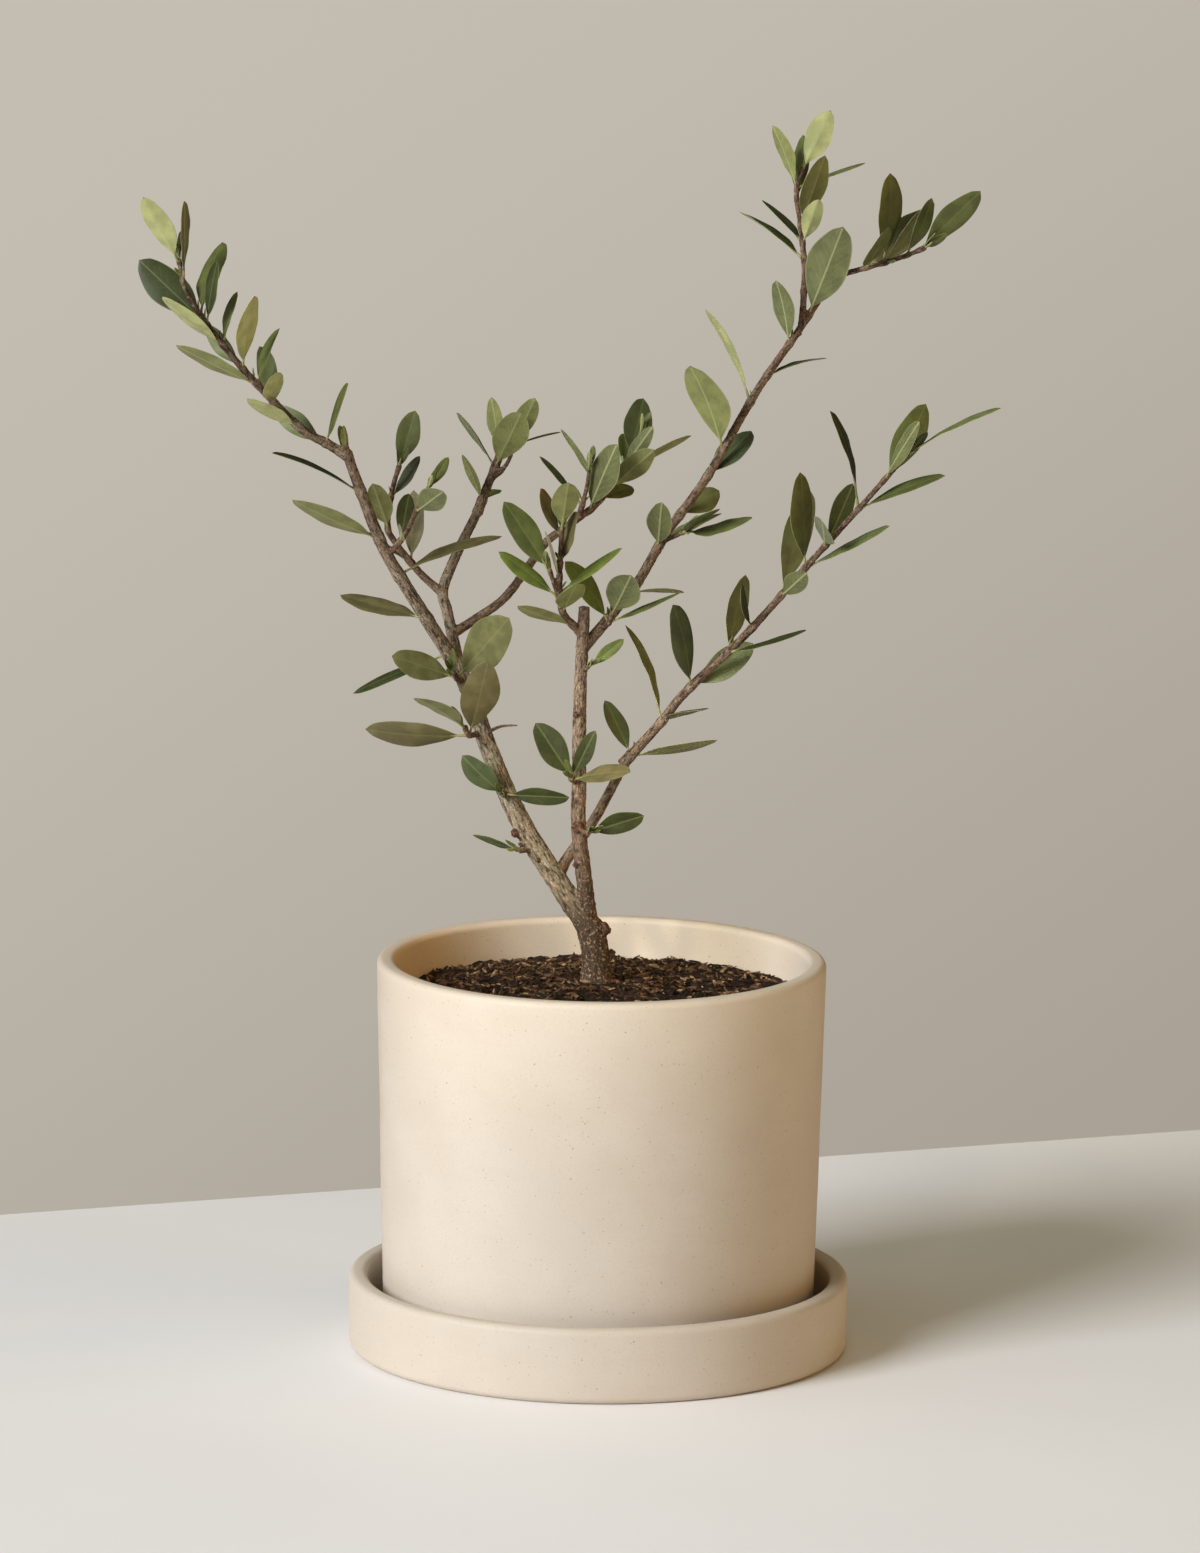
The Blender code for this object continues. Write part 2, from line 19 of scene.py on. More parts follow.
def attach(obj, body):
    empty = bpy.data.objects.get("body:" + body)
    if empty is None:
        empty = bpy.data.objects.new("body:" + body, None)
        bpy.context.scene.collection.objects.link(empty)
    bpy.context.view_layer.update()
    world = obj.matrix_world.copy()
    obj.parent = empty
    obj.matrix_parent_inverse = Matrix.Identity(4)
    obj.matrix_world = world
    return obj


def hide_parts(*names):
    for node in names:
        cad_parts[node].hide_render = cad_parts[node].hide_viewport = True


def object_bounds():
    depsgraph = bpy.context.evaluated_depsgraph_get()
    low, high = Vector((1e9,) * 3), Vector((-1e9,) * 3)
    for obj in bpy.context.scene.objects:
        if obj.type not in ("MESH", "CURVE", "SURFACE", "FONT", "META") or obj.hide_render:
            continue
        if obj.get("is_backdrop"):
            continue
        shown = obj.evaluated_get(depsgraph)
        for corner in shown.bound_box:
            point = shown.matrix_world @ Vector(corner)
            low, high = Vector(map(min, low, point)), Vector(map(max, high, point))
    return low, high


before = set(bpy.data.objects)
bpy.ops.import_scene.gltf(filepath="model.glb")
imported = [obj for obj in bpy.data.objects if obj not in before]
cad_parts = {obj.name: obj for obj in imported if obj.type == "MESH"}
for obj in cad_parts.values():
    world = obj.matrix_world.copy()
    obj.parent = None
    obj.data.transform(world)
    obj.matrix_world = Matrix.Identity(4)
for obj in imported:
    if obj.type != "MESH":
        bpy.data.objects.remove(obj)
cad_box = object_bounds()

MM = 0.001
FRONT = np.array([0.0, -1.0, 0.0])
UP = np.array([0.0, 0.0, 1.0])

# The camera: its place, its turns in radians and its lens, for a frame 1553 pixels high
CAMERA_PLACE = (0.0, -2544.5, 636.6)
CAMERA_DOWN = 0.1822
CAMERA_TURN = -0.0004
CAMERA_ROLL = 0.0103
SENSOR = 36.0
LENS = SENSOR * 9000 / 1553

# Light
Lamp = namedtuple("Lamp", "name place size power colour aim", defaults=((0, 0, 80),))
LAMPS = (
    Lamp("key", (-2986, -2884, 2060), 2000, 268.0, (0.92, 0.942, 1.0)),
    Lamp("bounce", (1734, -306, 454), 1200, 9.5, (1.0, 0.60, 0.18)),
    Lamp("ceiling", (0, -140, 2075), 1600, 8.6, (0.954, 1.0, 0.813)),
    Lamp("left", (-1872, -164, 764), 1400, 5.2, (1.0, 0.932, 0.883)),
)
# Weak spots into the pot: three at its back wall, and the warm light that the wall throws back to the left
INSIDE_LIGHT = (1.0, 0.86, 0.57)
BACK_WALL = (20, 50, 112)
INSIDE_LAMPS = (
    Lamp("inside_left", (-520, -890, 620), 100, 18.5, INSIDE_LIGHT, BACK_WALL),
    Lamp("inside_middle", (-220, -1010, 620), 100, 17.5, INSIDE_LIGHT, BACK_WALL),
    Lamp("inside_right", (150, -1020, 620), 100, 9.0, INSIDE_LIGHT, BACK_WALL),
    Lamp("inside_warm", (850, 330, 600), 100, 15.0, (1.0, 0.46, 0.10), (-52, 12, 106)),
)
INSIDE_CONE = math.radians(7)
WALL_LOW = (0.375, 0.335, 0.285)
WALL_HIGH = (0.55, 0.51, 0.445)
WALL_FADE = (-0.32, -0.05)  # from the dim to the bright end, by how far a view goes up and to the left
ROOM_LIGHT = (0.05, 0.045, 0.04)

# The table, whose far edge crosses the picture at a slant
TABLE_EDGE_SLOPE = math.radians(19.9)
TABLE_BEHIND = 209.0  # from the pot's middle to the far edge
TABLE_SIZE = 3600.0
TABLE_THICK = 30.0
TABLE_PALE = (0.88, 0.86, 0.835)
TABLE_WARM = (0.86, 0.84, 0.815)

# Pot, saucer and soil
Vessel = namedtuple("Vessel", "low high foot rim wall floor lip corner")
SAUCER = Vessel(low=0.0, high=21.9, foot=72.3, rim=72.5, wall=5.3, floor=6.0, lip=1.9, corner=2.4)
POT = Vessel(low=6.3, high=114.5, foot=62.5, rim=65.0, wall=5.4, floor=7.0, lip=1.9, corner=2.2)
TURNED_STEPS = 200
CORNER_POINTS = 8
RING_GAP = 2.4
WELD = 1e-7
THROWN_BY = 0.14  # how far the walls stray from a true round
SOIL_TOP = 106.7
SOIL_DEPTH = 14.0  # of the bed that stands for the soil
SOIL_INTO_WALL = 0.15
SOIL_FALL = ((14.0, 0.0), (32.0, 1.2), (48.0, 2.9), (59.5, 3.9))  # radius, and how far the soil has dropped
SOIL_RINGS = 90
SOIL_STEPS = 260
SOIL_LUMPS = ((9.0, 1.3), (3.2, 0.9), (1.3, 0.45))  # size across and height of the clods, coarse to fine
NUGGET_EDGE = 1.1  # more than an edge of the round, and less than the next wider gap between its points
CHIP_SEED = 7
CHIP_COUNT = 3600
CHIP_LENGTH = (1.2, 5.6)
CHIP_WIDTH = (0.14, 0.34)  # shares of the length
CHIP_ROUGH = (0.72, 1.15)
CHIP_TILT = 0.28
CHIP_LIFT = (0.0, 1.3)  # how high a chip lies over the soil, as a share of its half width
CHIP_KINDS = (*["dark"] * 5, *["brown"] * 6, "red", "tan", "tan")
MOSS_COUNT = 420
MOSS_SIZE = 0.35
MOSS_PLACE = (1.9, 0.9)  # the middle and the spread of its turn round the pot, in radians

# Limbs, with the radius of the foot and of the tip
Limb = namedtuple("Limb", "name foot tip route")
LIMBS = (
    Limb("trunk", 3.9, 4.1, ((-1.5, 5, 107), (-1.5, 5, 110), (-2, 5, 116), (-3.5, 5, 123))),
    Limb("left_leader", 3.5, 2.3, (
        (-2.5, 5, 121), (-13, 5.5, 136), (-24, 7, 153.5), (-32.5, 10, 172), (-37.5, 12, 186),
        (-43, 13.5, 199),
    )),
    Limb("centre_stem", 2.5, 1.7, (
        (-3.5, 5, 122), (-5, 3.5, 135), (-7, 1, 152.5), (-7, -1, 167), (-7, -3, 190.5), (-6, -5, 218),
    )),
    Limb("right_bough", 1.7, 1.35, (
        (-13, 5.5, 137.5), (-9.5, 10, 143), (-2.5, 12, 153), (3.2, 9, 164.5), (6, 8, 170.5),
    )),
    Limb("upper_right_bough", 1.65, 1.55, ((-7, -4, 205), (-1.5, -1, 211), (5, 3, 218.5))),
    Limb("left_inner_bough", 1.8, 1.4, (
        (-41.5, 13.5, 195), (-45.5, 22, 211), (-47, 26, 217.5), (-43, 32, 227.5), (-37, 39, 239),
    )),
    Limb("rear_bough", 1.4, 1.2, (
        (-44.5, 19, 205.5), (-37.5, 23, 209.5), (-28.5, 26, 216), (-18.5, 34, 229),
        (-13.5, 36, 233.5),
    )),
)

# Shoots, with the radius of the foot and tip, the first pair's distance along the route and its turn from
# the front in degrees, the turn from each pair to the next, the leaf's length, and a seed for each pair.
# A pair stands a quarter turn from the last, or nearly in line with it on leaning shoots that twist their
# leaves to the light. Rise is the angle in degrees between the lowest leaves and the shoot.
RISE_AT_FOOT = 54.0
Shoot = namedtuple("Shoot", "foot tip first turn twist leaf seeds route rise", defaults=(RISE_AT_FOOT,))
# A spray's seed deals its tints out to its leaves.
Spray = namedtuple("Spray", "name seed tints shoots")
SPRAYS = (
    Spray("left_outer_spray", 642, "olive olive deep aged", (
        Shoot(2.1, 1.5, 2, 90, 0, 28, (1, 5543, 4603, 2513, 824, 1), (
            (-43, 13.7, 198), (-47.5, 10, 205.5), (-57, 2, 222), (-64, -3, 235), (-71, -9, 254),
            (-74, -12, 263),
        ), rise=95),
        Shoot(0.9, 0.6, 7, 42, -15, 17, (4415, 2862, 1459), (
            (-62.5, -2, 231.5), (-57, -5, 239), (-54.5, -8, 245), (-50.5, -11, 253),
        )),
    )),
    Spray("left_tip_spray", 12577, "pale pale olive deep", (
        Shoot(1.4, 0.6, 6, 30, 90, 23, (1930, 4590, 2542, 1683, 844, 289, 2488, 1239, 4031, 245), (
            (-74, -12, 262), (-80, -14, 266), (-87, -17, 270.5), (-99.5, -22, 284), (-110, -26, 297),
            (-118.5, -29, 310), (-121, -30, 320),
        )),
    )),
    Spray("inner_side_spray", 5, "olive olive aged deep", (
        Shoot(1.2, 0.7, 12, 108, 90, 18, (2760, 2643, 4675, 3244), (
            (-46.5, 25.5, 216), (-54, 24, 223), (-61, 20, 232.5), (-63, 18, 237.5), (-61.5, 14, 248.5),
            (-59.5, 11, 256),
        )),
    )),
    Spray("inner_top_spray", 274, "olive fresh dusk olive", (
        Shoot(1.4, 1.2, 5, 120, 90, 19, (515, 5253, 4673), (
            (-37.5, 38.5, 238), (-34, 42.5, 247), (-30.5, 46, 255.5),
        )),
        Shoot(0.8, 0.5, 2, 138, 90, 17, (7, 5551), ((-34, 42.5, 247), (-29, 43, 252), (-26.5, 44, 259))),
    )),
    Spray("rear_spray", 2057, "olive fresh dusk deep", (
        Shoot(1.15, 0.6, 10, 0, 90, 21, (5129, 4868, 2154, 88, 5473, 127, 1898, 43, 88), (
            (-14, 35.8, 233), (-8, 38, 237), (-2, 42, 241.5), (6.5, 50, 252.5), (10, 53, 260),
        )),
        Shoot(0.8, 0.5, 2, 120, 90, 20, (4301,), ((-8, 38, 237), (-6, 37, 245), (-5, 36, 252))),
    )),
    Spray("centre_spray", 12225, "olive fresh fresh aged", (
        Shoot(1.1, 0.6, 5, 90, 90, 20, (2513, 1882, 3964, 52, 52, 4272, 110, 4456), (
            (-7.3, -4.3, 210.5), (-12, -10, 217), (-13, -14, 223), (-13, -20, 234),
            (-12.5, -24, 244),
        )),
        Shoot(0.8, 0.6, 3, 60, 0, 20, (1, 29), ((-12.3, -11, 219), (-14.5, -16.5, 226), (-16, -19, 231))),
    )),
    Spray("upper_right_spray", 16801, "olive olive pale dusk deep", (
        Shoot(1.5, 1, 2, 120, 0, 25, (1911, 4616, 2836, 334, 2051, 925, 1715, 63, 4390, 88), (
            (4.5, 2.7, 218), (9, 6, 223), (17.5, 12, 237), (29, 19, 252.5), (43, 28, 276), (55, 34, 293),
            (65, 40, 308),
        )),
        Shoot(0.8, 0.5, 10, 108, 90, 24, (1147, 3090), ((17, 12, 235), (22.5, 4, 238.5))),
        Shoot(0.9, 0.6, 10, 30, 0, 22, (2232, 3574, 2097, 1515, 2643, 88), (
            (65, 40, 308), (76, 34, 312), (84, 30, 315), (91, 26, 318.5),
        )),
        Shoot(1, 0.6, 10, 0, 90, 21, (88, 5128, 5212, 641, 5604, 2043, 4187), (
            (56, 34.5, 295), (56.5, 38, 310), (55.5, 42, 321), (54, 47, 332), (56, 50, 338.5),
        )),
    )),
    Spray("right_spray", 16450, "olive olive deep pale dusk", (
        Shoot(1.5, 0.7, 2, 102, 90, 26, (2650, 5987, 2530, 3428, 1644, 19, 1184, 3485, 5137, 2036, 10), (
            (5.5, 8.1, 170), (16, 2, 183), (23.5, -3, 193.5), (40.5, -12, 212), (57.5, -24, 234),
            (72.5, -36, 253.5), (84.5, -44, 269),
        )),
    )),
    Spray("bough_sprig", 6, "fresh deep olive", (
        Shoot(0.8, 0.7, 8, 72, -15, 22, (3978, 5303), ((-1, -1, 211.5), (1, -6, 213.5), (2, -8, 217))),
    )),
    Spray("fork_sprig", 1, "drab", (
        Shoot(0.9, 0.7, 6, 60, 90, 26, (350,), ((-41, 13, 193), (-42.5, 6, 195), (-43.5, 1, 198))),
    )),
    Spray("low_left_sprig", 1, "aged olive", (
        Shoot(0.9, 0.7, 7, 48, 75, 28, (53, 761), ((-36, 10.5, 178), (-39, 3, 179), (-40, 1, 182))),
    )),
    Spray("lowest_left_sprig", 7, "dusk deep", (
        Shoot(0.9, 0.7, 2, 0, 90, 19, (2603,), ((-28, 8, 161), (-29, 1, 162))),
    )),
    Spray("centre_low_sprig", 8, "aged deep dusk", (
        Shoot(0.8, 0.7, 2, 12, 75, 21, (810, 1461), ((-7.5, -1, 166), (-9.5, -6, 168.5))),
    )),
    Spray("knob_sprig", 1, "deep", (
        Shoot(0.8, 0.7, 6, 138, 90, 18, (3047,), ((-7, 1, 151.5), (-4, -4, 152))),
    )),
    Spray("leader_sprig", 1, "dusk", (
        Shoot(0.8, 0.7, 6, 48, 90, 16, (5763,), ((-18.3, 6, 145), (-24, 2, 145.5))),
    )),
    Spray("stem_top_sprig", 1, "fresh", (
        Shoot(0.7, 0.6, 4, 150, 90, 12, (3229,), ((-7.3, -3, 198.5), (-4.6, -6, 200.7))),
    )),
)
SHOOTS = [(spray.name, shoot) for spray in SPRAYS for shoot in spray.shoots]
STEM_STEP = 5.0

# The leaf's rule
RISE_AT_TIP = 28.0
LIFT = 0.4  # how far leaves rise towards the light
FIRST_SPOT = 4.0  # the nearest that a leaf grows to its shoot's foot, clear of what the shoot grows on
SPOT_SPREAD = 2.5
PAIR_SPREAD = 30.0
TURN_SPREAD = 18.0
RISE_SPREAD = 10.0
ROLL_SPREAD = 16.0
LENGTH_SPREAD = (0.66, 1.2)
WIDTH_SPREAD = (0.28, 0.46)  # shares of the length
BEND_SPREAD = (-8.0, 26.0)
FALLEN = 0.14  # share of the leaves that have dropped
PETIOLE = 0.1  # share of the length
PETIOLE_WIDTH = 0.07  # share of the width
CROWDING = 0.9  # below 1, pairs come closer together towards the tip
BARE_TIP = 0.8
TEST_ROWS = 12
TEST_COLUMNS = 6
TEST_FROM = 3  # the first row that has to be clear of other things
WOOD_CLEAR = 0.55
LEAF_CLEAR = 1.3
LEAVES_NEAR = 40.0  # leaves whose middles are further apart can't touch
NUDGES = (0, 14, -14, 28, -28, 42, -42)  # degrees

Leaf = namedtuple("Leaf", "root along across normal length width bend")

# Wood: rings of each limb, the mesh that fuses them, and the marks that a gardener's cuts have left
RING_STEP = 1.3
RING_SIDES = 18
VOXEL = 0.32
SMOOTHING = 2
WOOD_TRIANGLES = 190000
ROOT_DEPTH = 3.5  # how far the trunk goes on below the soil's top
FLARE = 0.9
FLARE_HEIGHT = 3.0
COLLAR = 0.26  # how much wider a limb is where it leaves its parent
COLLAR_LENGTH = 2.6
# How red the bark of a limb is
RUDDY = {"trunk": 0.75, "left_leader": 0.05, "centre_stem": 0.85, "left_inner_bough": 0.15}
RUDDY_TWIG = 0.5
YOUNG_RADIUS = 0.6  # a twig as thin as this has fully young bark
OLD_RADIUS = 3.6  # a limb as thick as this has fully old bark
GRAIN_STRETCH = 0.24  # along a limb, so that cracks run lengthwise
FOOT_DARK_AND_SHADE = (122.0, 137.0)  # heights between which the trunk's foot turns from dark, partly painted shade, to the bark's colour above
FOOT_RUDDY = (124.0, 166.0)  # the same on ruddy limbs
PORE_CELL = 1.9  # pores stand in about half of the cells of this size
PORE_WIDE = 0.36
PORE_GAP = 1.7  # between the finer pores that only the colour shows
NODE_SWELL = 0.24
NODE_LENGTH = 1.1
NEAREST = 10  # how many points of the lines are weighed to find the limb that a point of bark is on
Mark = namedtuple("Mark", "kind limb reach turn rise length foot tip")  # out from a limb, as leaves are
MARKS = (
    Mark("scar", "trunk", 13, 78, 70, 5.6, 2.3, 1.9),
    Mark("stub", "trunk", 0.5, 116, 33, 9.6, 1.4, 1.0),
    Mark("scar", "left_leader", 36, -62, 80, 4.2, 1.9, 1.2),
    Mark("scar", "left_leader", 32.5, -78, 85, 3.8, 1.3, 0.8),
    Mark("scar", "left_leader", 26, -20, 75, 3.6, 1.1, 0.8),
    Mark("knob", "centre_stem", 31.8, -8, 85, 3.1, 2.0, 1.7),
    Mark("scar", "centre_stem", 65, -35, 80, 2.6, 1.2, 0.8),
    Mark("scar", "centre_stem", 20, -50, 80, 3.0, 1.2, 0.9),
    Mark("dry", "left_leader", 66, 58, 92, 12.5, 0.65, 0.3),
    Mark("scar", "upper_right_spray", 66, -10, 70, 1.9, 0.9, 0.6),
    Mark("stub", "left_outer_spray", 74, 0, 8, 5.5, 1.5, 1.2),
    Mark("stub", "inner_top_spray", 19.5, 0, 6, 3.0, 1.25, 1.1),
    Mark("dry", "upper_right_spray", 111, 150, 40, 7.0, 0.6, 0.35),
)
MARK_SHADE = {"stub": 0.4, "scar": 0.8, "knob": 0.75, "dry": 0.0}
DRY_SAG = 0.9  # how far a dry twig's middle bends up

# Leaves in full: the blade's rows, its columns as shares of its half width, and its form
SPRAY_SEED = 41  # of the first spray's fine forms
BLADE_ROWS = 22
BLADE_ACROSS = (-1.0, -0.88, -0.64, -0.36, -0.14, 0.0, 0.14, 0.36, 0.64, 0.88, 1.0)
BLADE_THICK = 0.3
BLADE_EDGE = 0.1
BLADE_SPREADS = ((-0.05, 0.2), (0.0, 0.07), (-14.0, 14.0), (0, 6.28))  # cup, wave, twist and phase
UNEVEN = 0.05  # how much wider one side is than the other
TIP_TAPER = 0.06  # the share of the length over which the blade thins out at its tip
MARGIN_FROM = 0.72  # where the margin starts to roll down
MARGIN_ROLL = 0.075
RIPPLES = 21
RIB_HIGH = 0.2
GROOVE = 0.6  # its depth as a share of the rib's height
RIB_WIDE = 0.42
SHARP = math.radians(50)  # a steeper edge than this is shaded as a corner
PETIOLE_RADIUS = 0.46
PETIOLE_SIDES = 8
PETIOLE_CAP = ((0, 1, 2, 3), (0, 3, 4, 7), (4, 5, 6, 7))
PETIOLE_RINGS = 6
BUD_LENGTH = (1.6, 4.0)
BUD_SHARE = 0.4  # how many of the crooks have a bud
BUD_RISE = (22, 42)
BUD_ABOVE = 1.2  # over its leaf's spot on the stem
BUD_FORM = (0.34, 10.0)  # width as a share of its length, and bend
SMALL_CLEAR = 0.5  # how far buds and tip leaves keep from the other leaves
TIP_BEND = (-8, 14)
TIP_WIDTH = (0.24, 0.34)
TIP_ROLL = 12
TIP_BACK = 0.5  # how far their roots are from the shoot's very end
# The leaves at a tip: their share of a full leaf's length, their rise and their turn
TIP_LEAVES = ((0.36, 16, 0), (0.3, 18, 180), (0.2, 9, 90), (0.17, 10, 270))

# Colours, as the scene's linear values
CLAY = (0.565, 0.488, 0.392)
CLAY_CLOUD = (0.59, 0.515, 0.42)
CLAY_BAND = (0.54, 0.46, 0.365)
CLAY_GRAIN = (0.45, 0.37, 0.28)
CLAY_SPECK = (0.27, 0.165, 0.085)
BARK_GREY = (0.265, 0.235, 0.15)
BARK_TAN = (0.275, 0.215, 0.14)
BARK_RUDDY = (0.25, 0.16, 0.108)
BARK_PALE = (0.44, 0.375, 0.265)
BARK_DARK = (0.032, 0.019, 0.011)
BARK_GOLD = (0.41, 0.28, 0.165)
BARK_YOUNG = (0.19, 0.115, 0.065)
BARK_RED = (0.135, 0.068, 0.042)
BARK_BLOOM = (0.285, 0.235, 0.165)
BARK_CRACK = (0.032, 0.02, 0.012)
BARK_PORE = (0.31, 0.155, 0.065)
SCAR_DARK = (0.055, 0.026, 0.016)
SCAR_RED = (0.15, 0.075, 0.045)
SOIL_GLINT = (0.16, 0.1, 0.065)
CHIPS = {
    "dark": ((0.01, 0.006, 0.004), (0.036, 0.021, 0.013)),
    "brown": ((0.052, 0.027, 0.013), (0.15, 0.085, 0.044)),
    "red": ((0.06, 0.024, 0.014), (0.12, 0.05, 0.028)),
    "tan": ((0.17, 0.102, 0.048), (0.4, 0.265, 0.145)),
    "moss": ((0.045, 0.058, 0.012), (0.11, 0.125, 0.026)),
}
LEAF_WITHERED = (0.13, 0.075, 0.03)
STALK_GREEN = (0.22, 0.23, 0.06)
STALK_PALE = (0.33, 0.32, 0.11)
Tint = namedtuple("Tint", "upper under")  # the darker of the two greens that mingle on each side
TINTS = {
    "deep": Tint((0.029, 0.036, 0.01), (0.094, 0.1, 0.03)),
    "dusk": Tint((0.05, 0.066, 0.026), (0.108, 0.115, 0.042)),
    "olive": Tint((0.078, 0.09, 0.023), (0.175, 0.182, 0.054)),
    "pale": Tint((0.115, 0.132, 0.045), (0.325, 0.335, 0.13)),
    "fresh": Tint((0.092, 0.118, 0.019), (0.165, 0.189, 0.036)),
    "young": Tint((0.08, 0.094, 0.022), (0.15, 0.162, 0.044)),
    "drab": Tint((0.106, 0.104, 0.037), (0.145, 0.142, 0.053)),
    "aged": Tint((0.113, 0.094, 0.037), (0.13, 0.112, 0.046)),
}
Side = namedtuple("Side", "lighter rib edge speckle vein midrib margin roughness sheen")
SIDES = {
    "upper": Side(1.45, (0.19, 0.205, 0.07), (0.15, 0.165, 0.055), 0.08, 0.07, 0.4, 0.45, 0.5, 0.0),
    "under": Side(1.37, (0.36, 0.37, 0.16), (0.35, 0.36, 0.17), 0.08, 0.16, 0.7, 0.45, 0.62, 0.1),
}


def arc(radius, height, size, start, end):
    """Points of a round corner: its centre's radius and height, its size and its angles in degrees."""
    angles = np.radians(np.linspace(start, end, CORNER_POINTS))
    return [(radius + size * math.cos(a), height + size * math.sin(a)) for a in angles]


def inner_radius(vessel, height):
    """Inside radius of a vessel's wall at a height."""
    share = (height - vessel.low) / (vessel.high - vessel.low)
    return vessel.foot + (vessel.rim - vessel.foot) * share - vessel.wall


def vessel_profile(vessel):
    """From the middle of the inside floor, up the inside, over the lip and down the outside."""
    floor = vessel.low + vessel.floor
    fillet = vessel.wall / 2
    inside = inner_radius(vessel, floor)
    lip, corner = vessel.lip, vessel.corner
    return [
        (0.0, floor),
        *arc(inside - fillet, floor + fillet, fillet, -90, 0),
        *arc(vessel.rim - vessel.wall + lip, vessel.high - lip, lip, 180, 90),
        *arc(vessel.rim - lip, vessel.high - lip, lip, 90, 0),
        *arc(vessel.foot - corner, vessel.low + corner, corner, 0, -90),
        (0.0, vessel.low),
    ]


def grid_faces(rows, columns, start=0, closed=False):
    """Four-sided faces between rows of points; a closed grid joins its last column to its first."""
    row = np.arange(rows - 1)[:, None] * columns + start
    here = np.arange(columns if closed else columns - 1)[None, :]
    after = (here + 1) % columns
    return np.stack([row + here, row + after, row + columns + after, row + columns + here], -1).reshape(-1, 4)


def add_object(name, data):
    made = bpy.data.objects.new(name, data)
    bpy.context.scene.collection.objects.link(made)
    return made


def make_piece(name, points, faces, materials, kinds=None, attributes=None):
    """A mesh of points in millimetres that rides with the pot. Kinds gives each face its material."""
    mesh = bpy.data.meshes.new(name)
    mesh.from_pydata((np.asarray(points) * MM).tolist(), [], [list(map(int, face)) for face in faces])
    for finish in materials:
        mesh.materials.append(finish)
    if kinds is not None:
        mesh.polygons.foreach_set("material_index", np.asarray(kinds, np.int32))
    for key, values in (attributes or {}).items():
        kind, field = ("FLOAT_VECTOR", "vector") if values.ndim == 2 else ("FLOAT", "value")
        mesh.attributes.new(key, kind, "POINT").data.foreach_set(field, values.astype(np.float32).ravel())
    mesh.shade_smooth()
    piece = add_object(name, mesh)
    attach(piece, "root")
    return piece


class Nodes:
    """Adds nodes to a material or world. Each call returns the socket that carries its result."""

    def __init__(self, owner):
        owner.use_nodes = True
        self.tree = owner.node_tree

    def add(self, kind, output, inputs, **settings):
        made = self.tree.nodes.new(f"ShaderNode{kind}")
        for key, value in settings.items():
            setattr(made, key, value)
        for key, value in inputs.items():
            self.put(made.inputs[key], value)
        return made.outputs[output]

    def put(self, socket, value):
        if isinstance(value, bpy.types.NodeSocket):
            self.tree.links.new(value, socket)
        else:
            socket.default_value = (*value, 1.0) if socket.type == "RGBA" else value

    def place(self, stretch=(1.0, 1.0, 1.0)):
        """The point on the object, in millimetres."""
        place = self.add("TexCoord", "Object", {})
        scale = tuple(s / MM for s in stretch)
        return self.add("VectorMath", "Vector", {0: place, 1: scale}, operation="MULTIPLY")

    def attribute(self, name, output="Fac"):
        return self.add("Attribute", output, {}, attribute_name=name)

    def apart(self, vector):
        return self.add("SeparateXYZ", slice(0, 3), {0: vector})

    def noise(self, vector, size, detail=3.0, rough=0.55):
        """Soft noise whose blotches are about that many millimetres across."""
        inputs = {"Vector": vector, "Scale": 1 / size, "Detail": detail, "Roughness": rough}
        return self.add("TexNoise", "Fac", inputs)

    def dots(self, vector, size, output="Distance"):
        return self.add("TexVoronoi", output, {"Vector": vector, "Scale": 1 / size})

    def math(self, operation, a, b=0.0):
        return self.add("Math", 0, {0: a, 1: b}, operation=operation)

    def times(self, a, b):
        return self.math("MULTIPLY", a, b)

    def ramp(self, value, low, high, start=0.0, end=1.0):
        """Start below low, end above high, and a smooth change between them."""
        inputs = {"Value": value, "From Min": low, "From Max": high, "To Min": start, "To Max": end}
        return self.add("MapRange", 0, inputs, interpolation_type="SMOOTHSTEP")

    def mix(self, share, one, other):
        return self.add("Mix", 2, {0: share, 6: one, 7: other}, data_type="RGBA")

    def bump(self, height, depth, strength=1.0):
        """Relief of that many millimetres."""
        return self.add("Bump", "Normal", {"Height": height, "Distance": depth * MM, "Strength": strength})

    def finish(self, colour, roughness, normal=None, sheen=0.0, specular=0.5):
        shader = self.tree.nodes["Principled BSDF"]
        self.put(shader.inputs["Base Color"], colour)
        self.put(shader.inputs["Roughness"], roughness)
        shader.inputs["Specular IOR Level"].default_value = specular
        shader.inputs["Sheen Weight"].default_value = sheen
        if normal is not None:
            self.put(shader.inputs["Normal"], normal)


def new_material(name):
    made = bpy.data.materials.new(name)
    return made, Nodes(made)


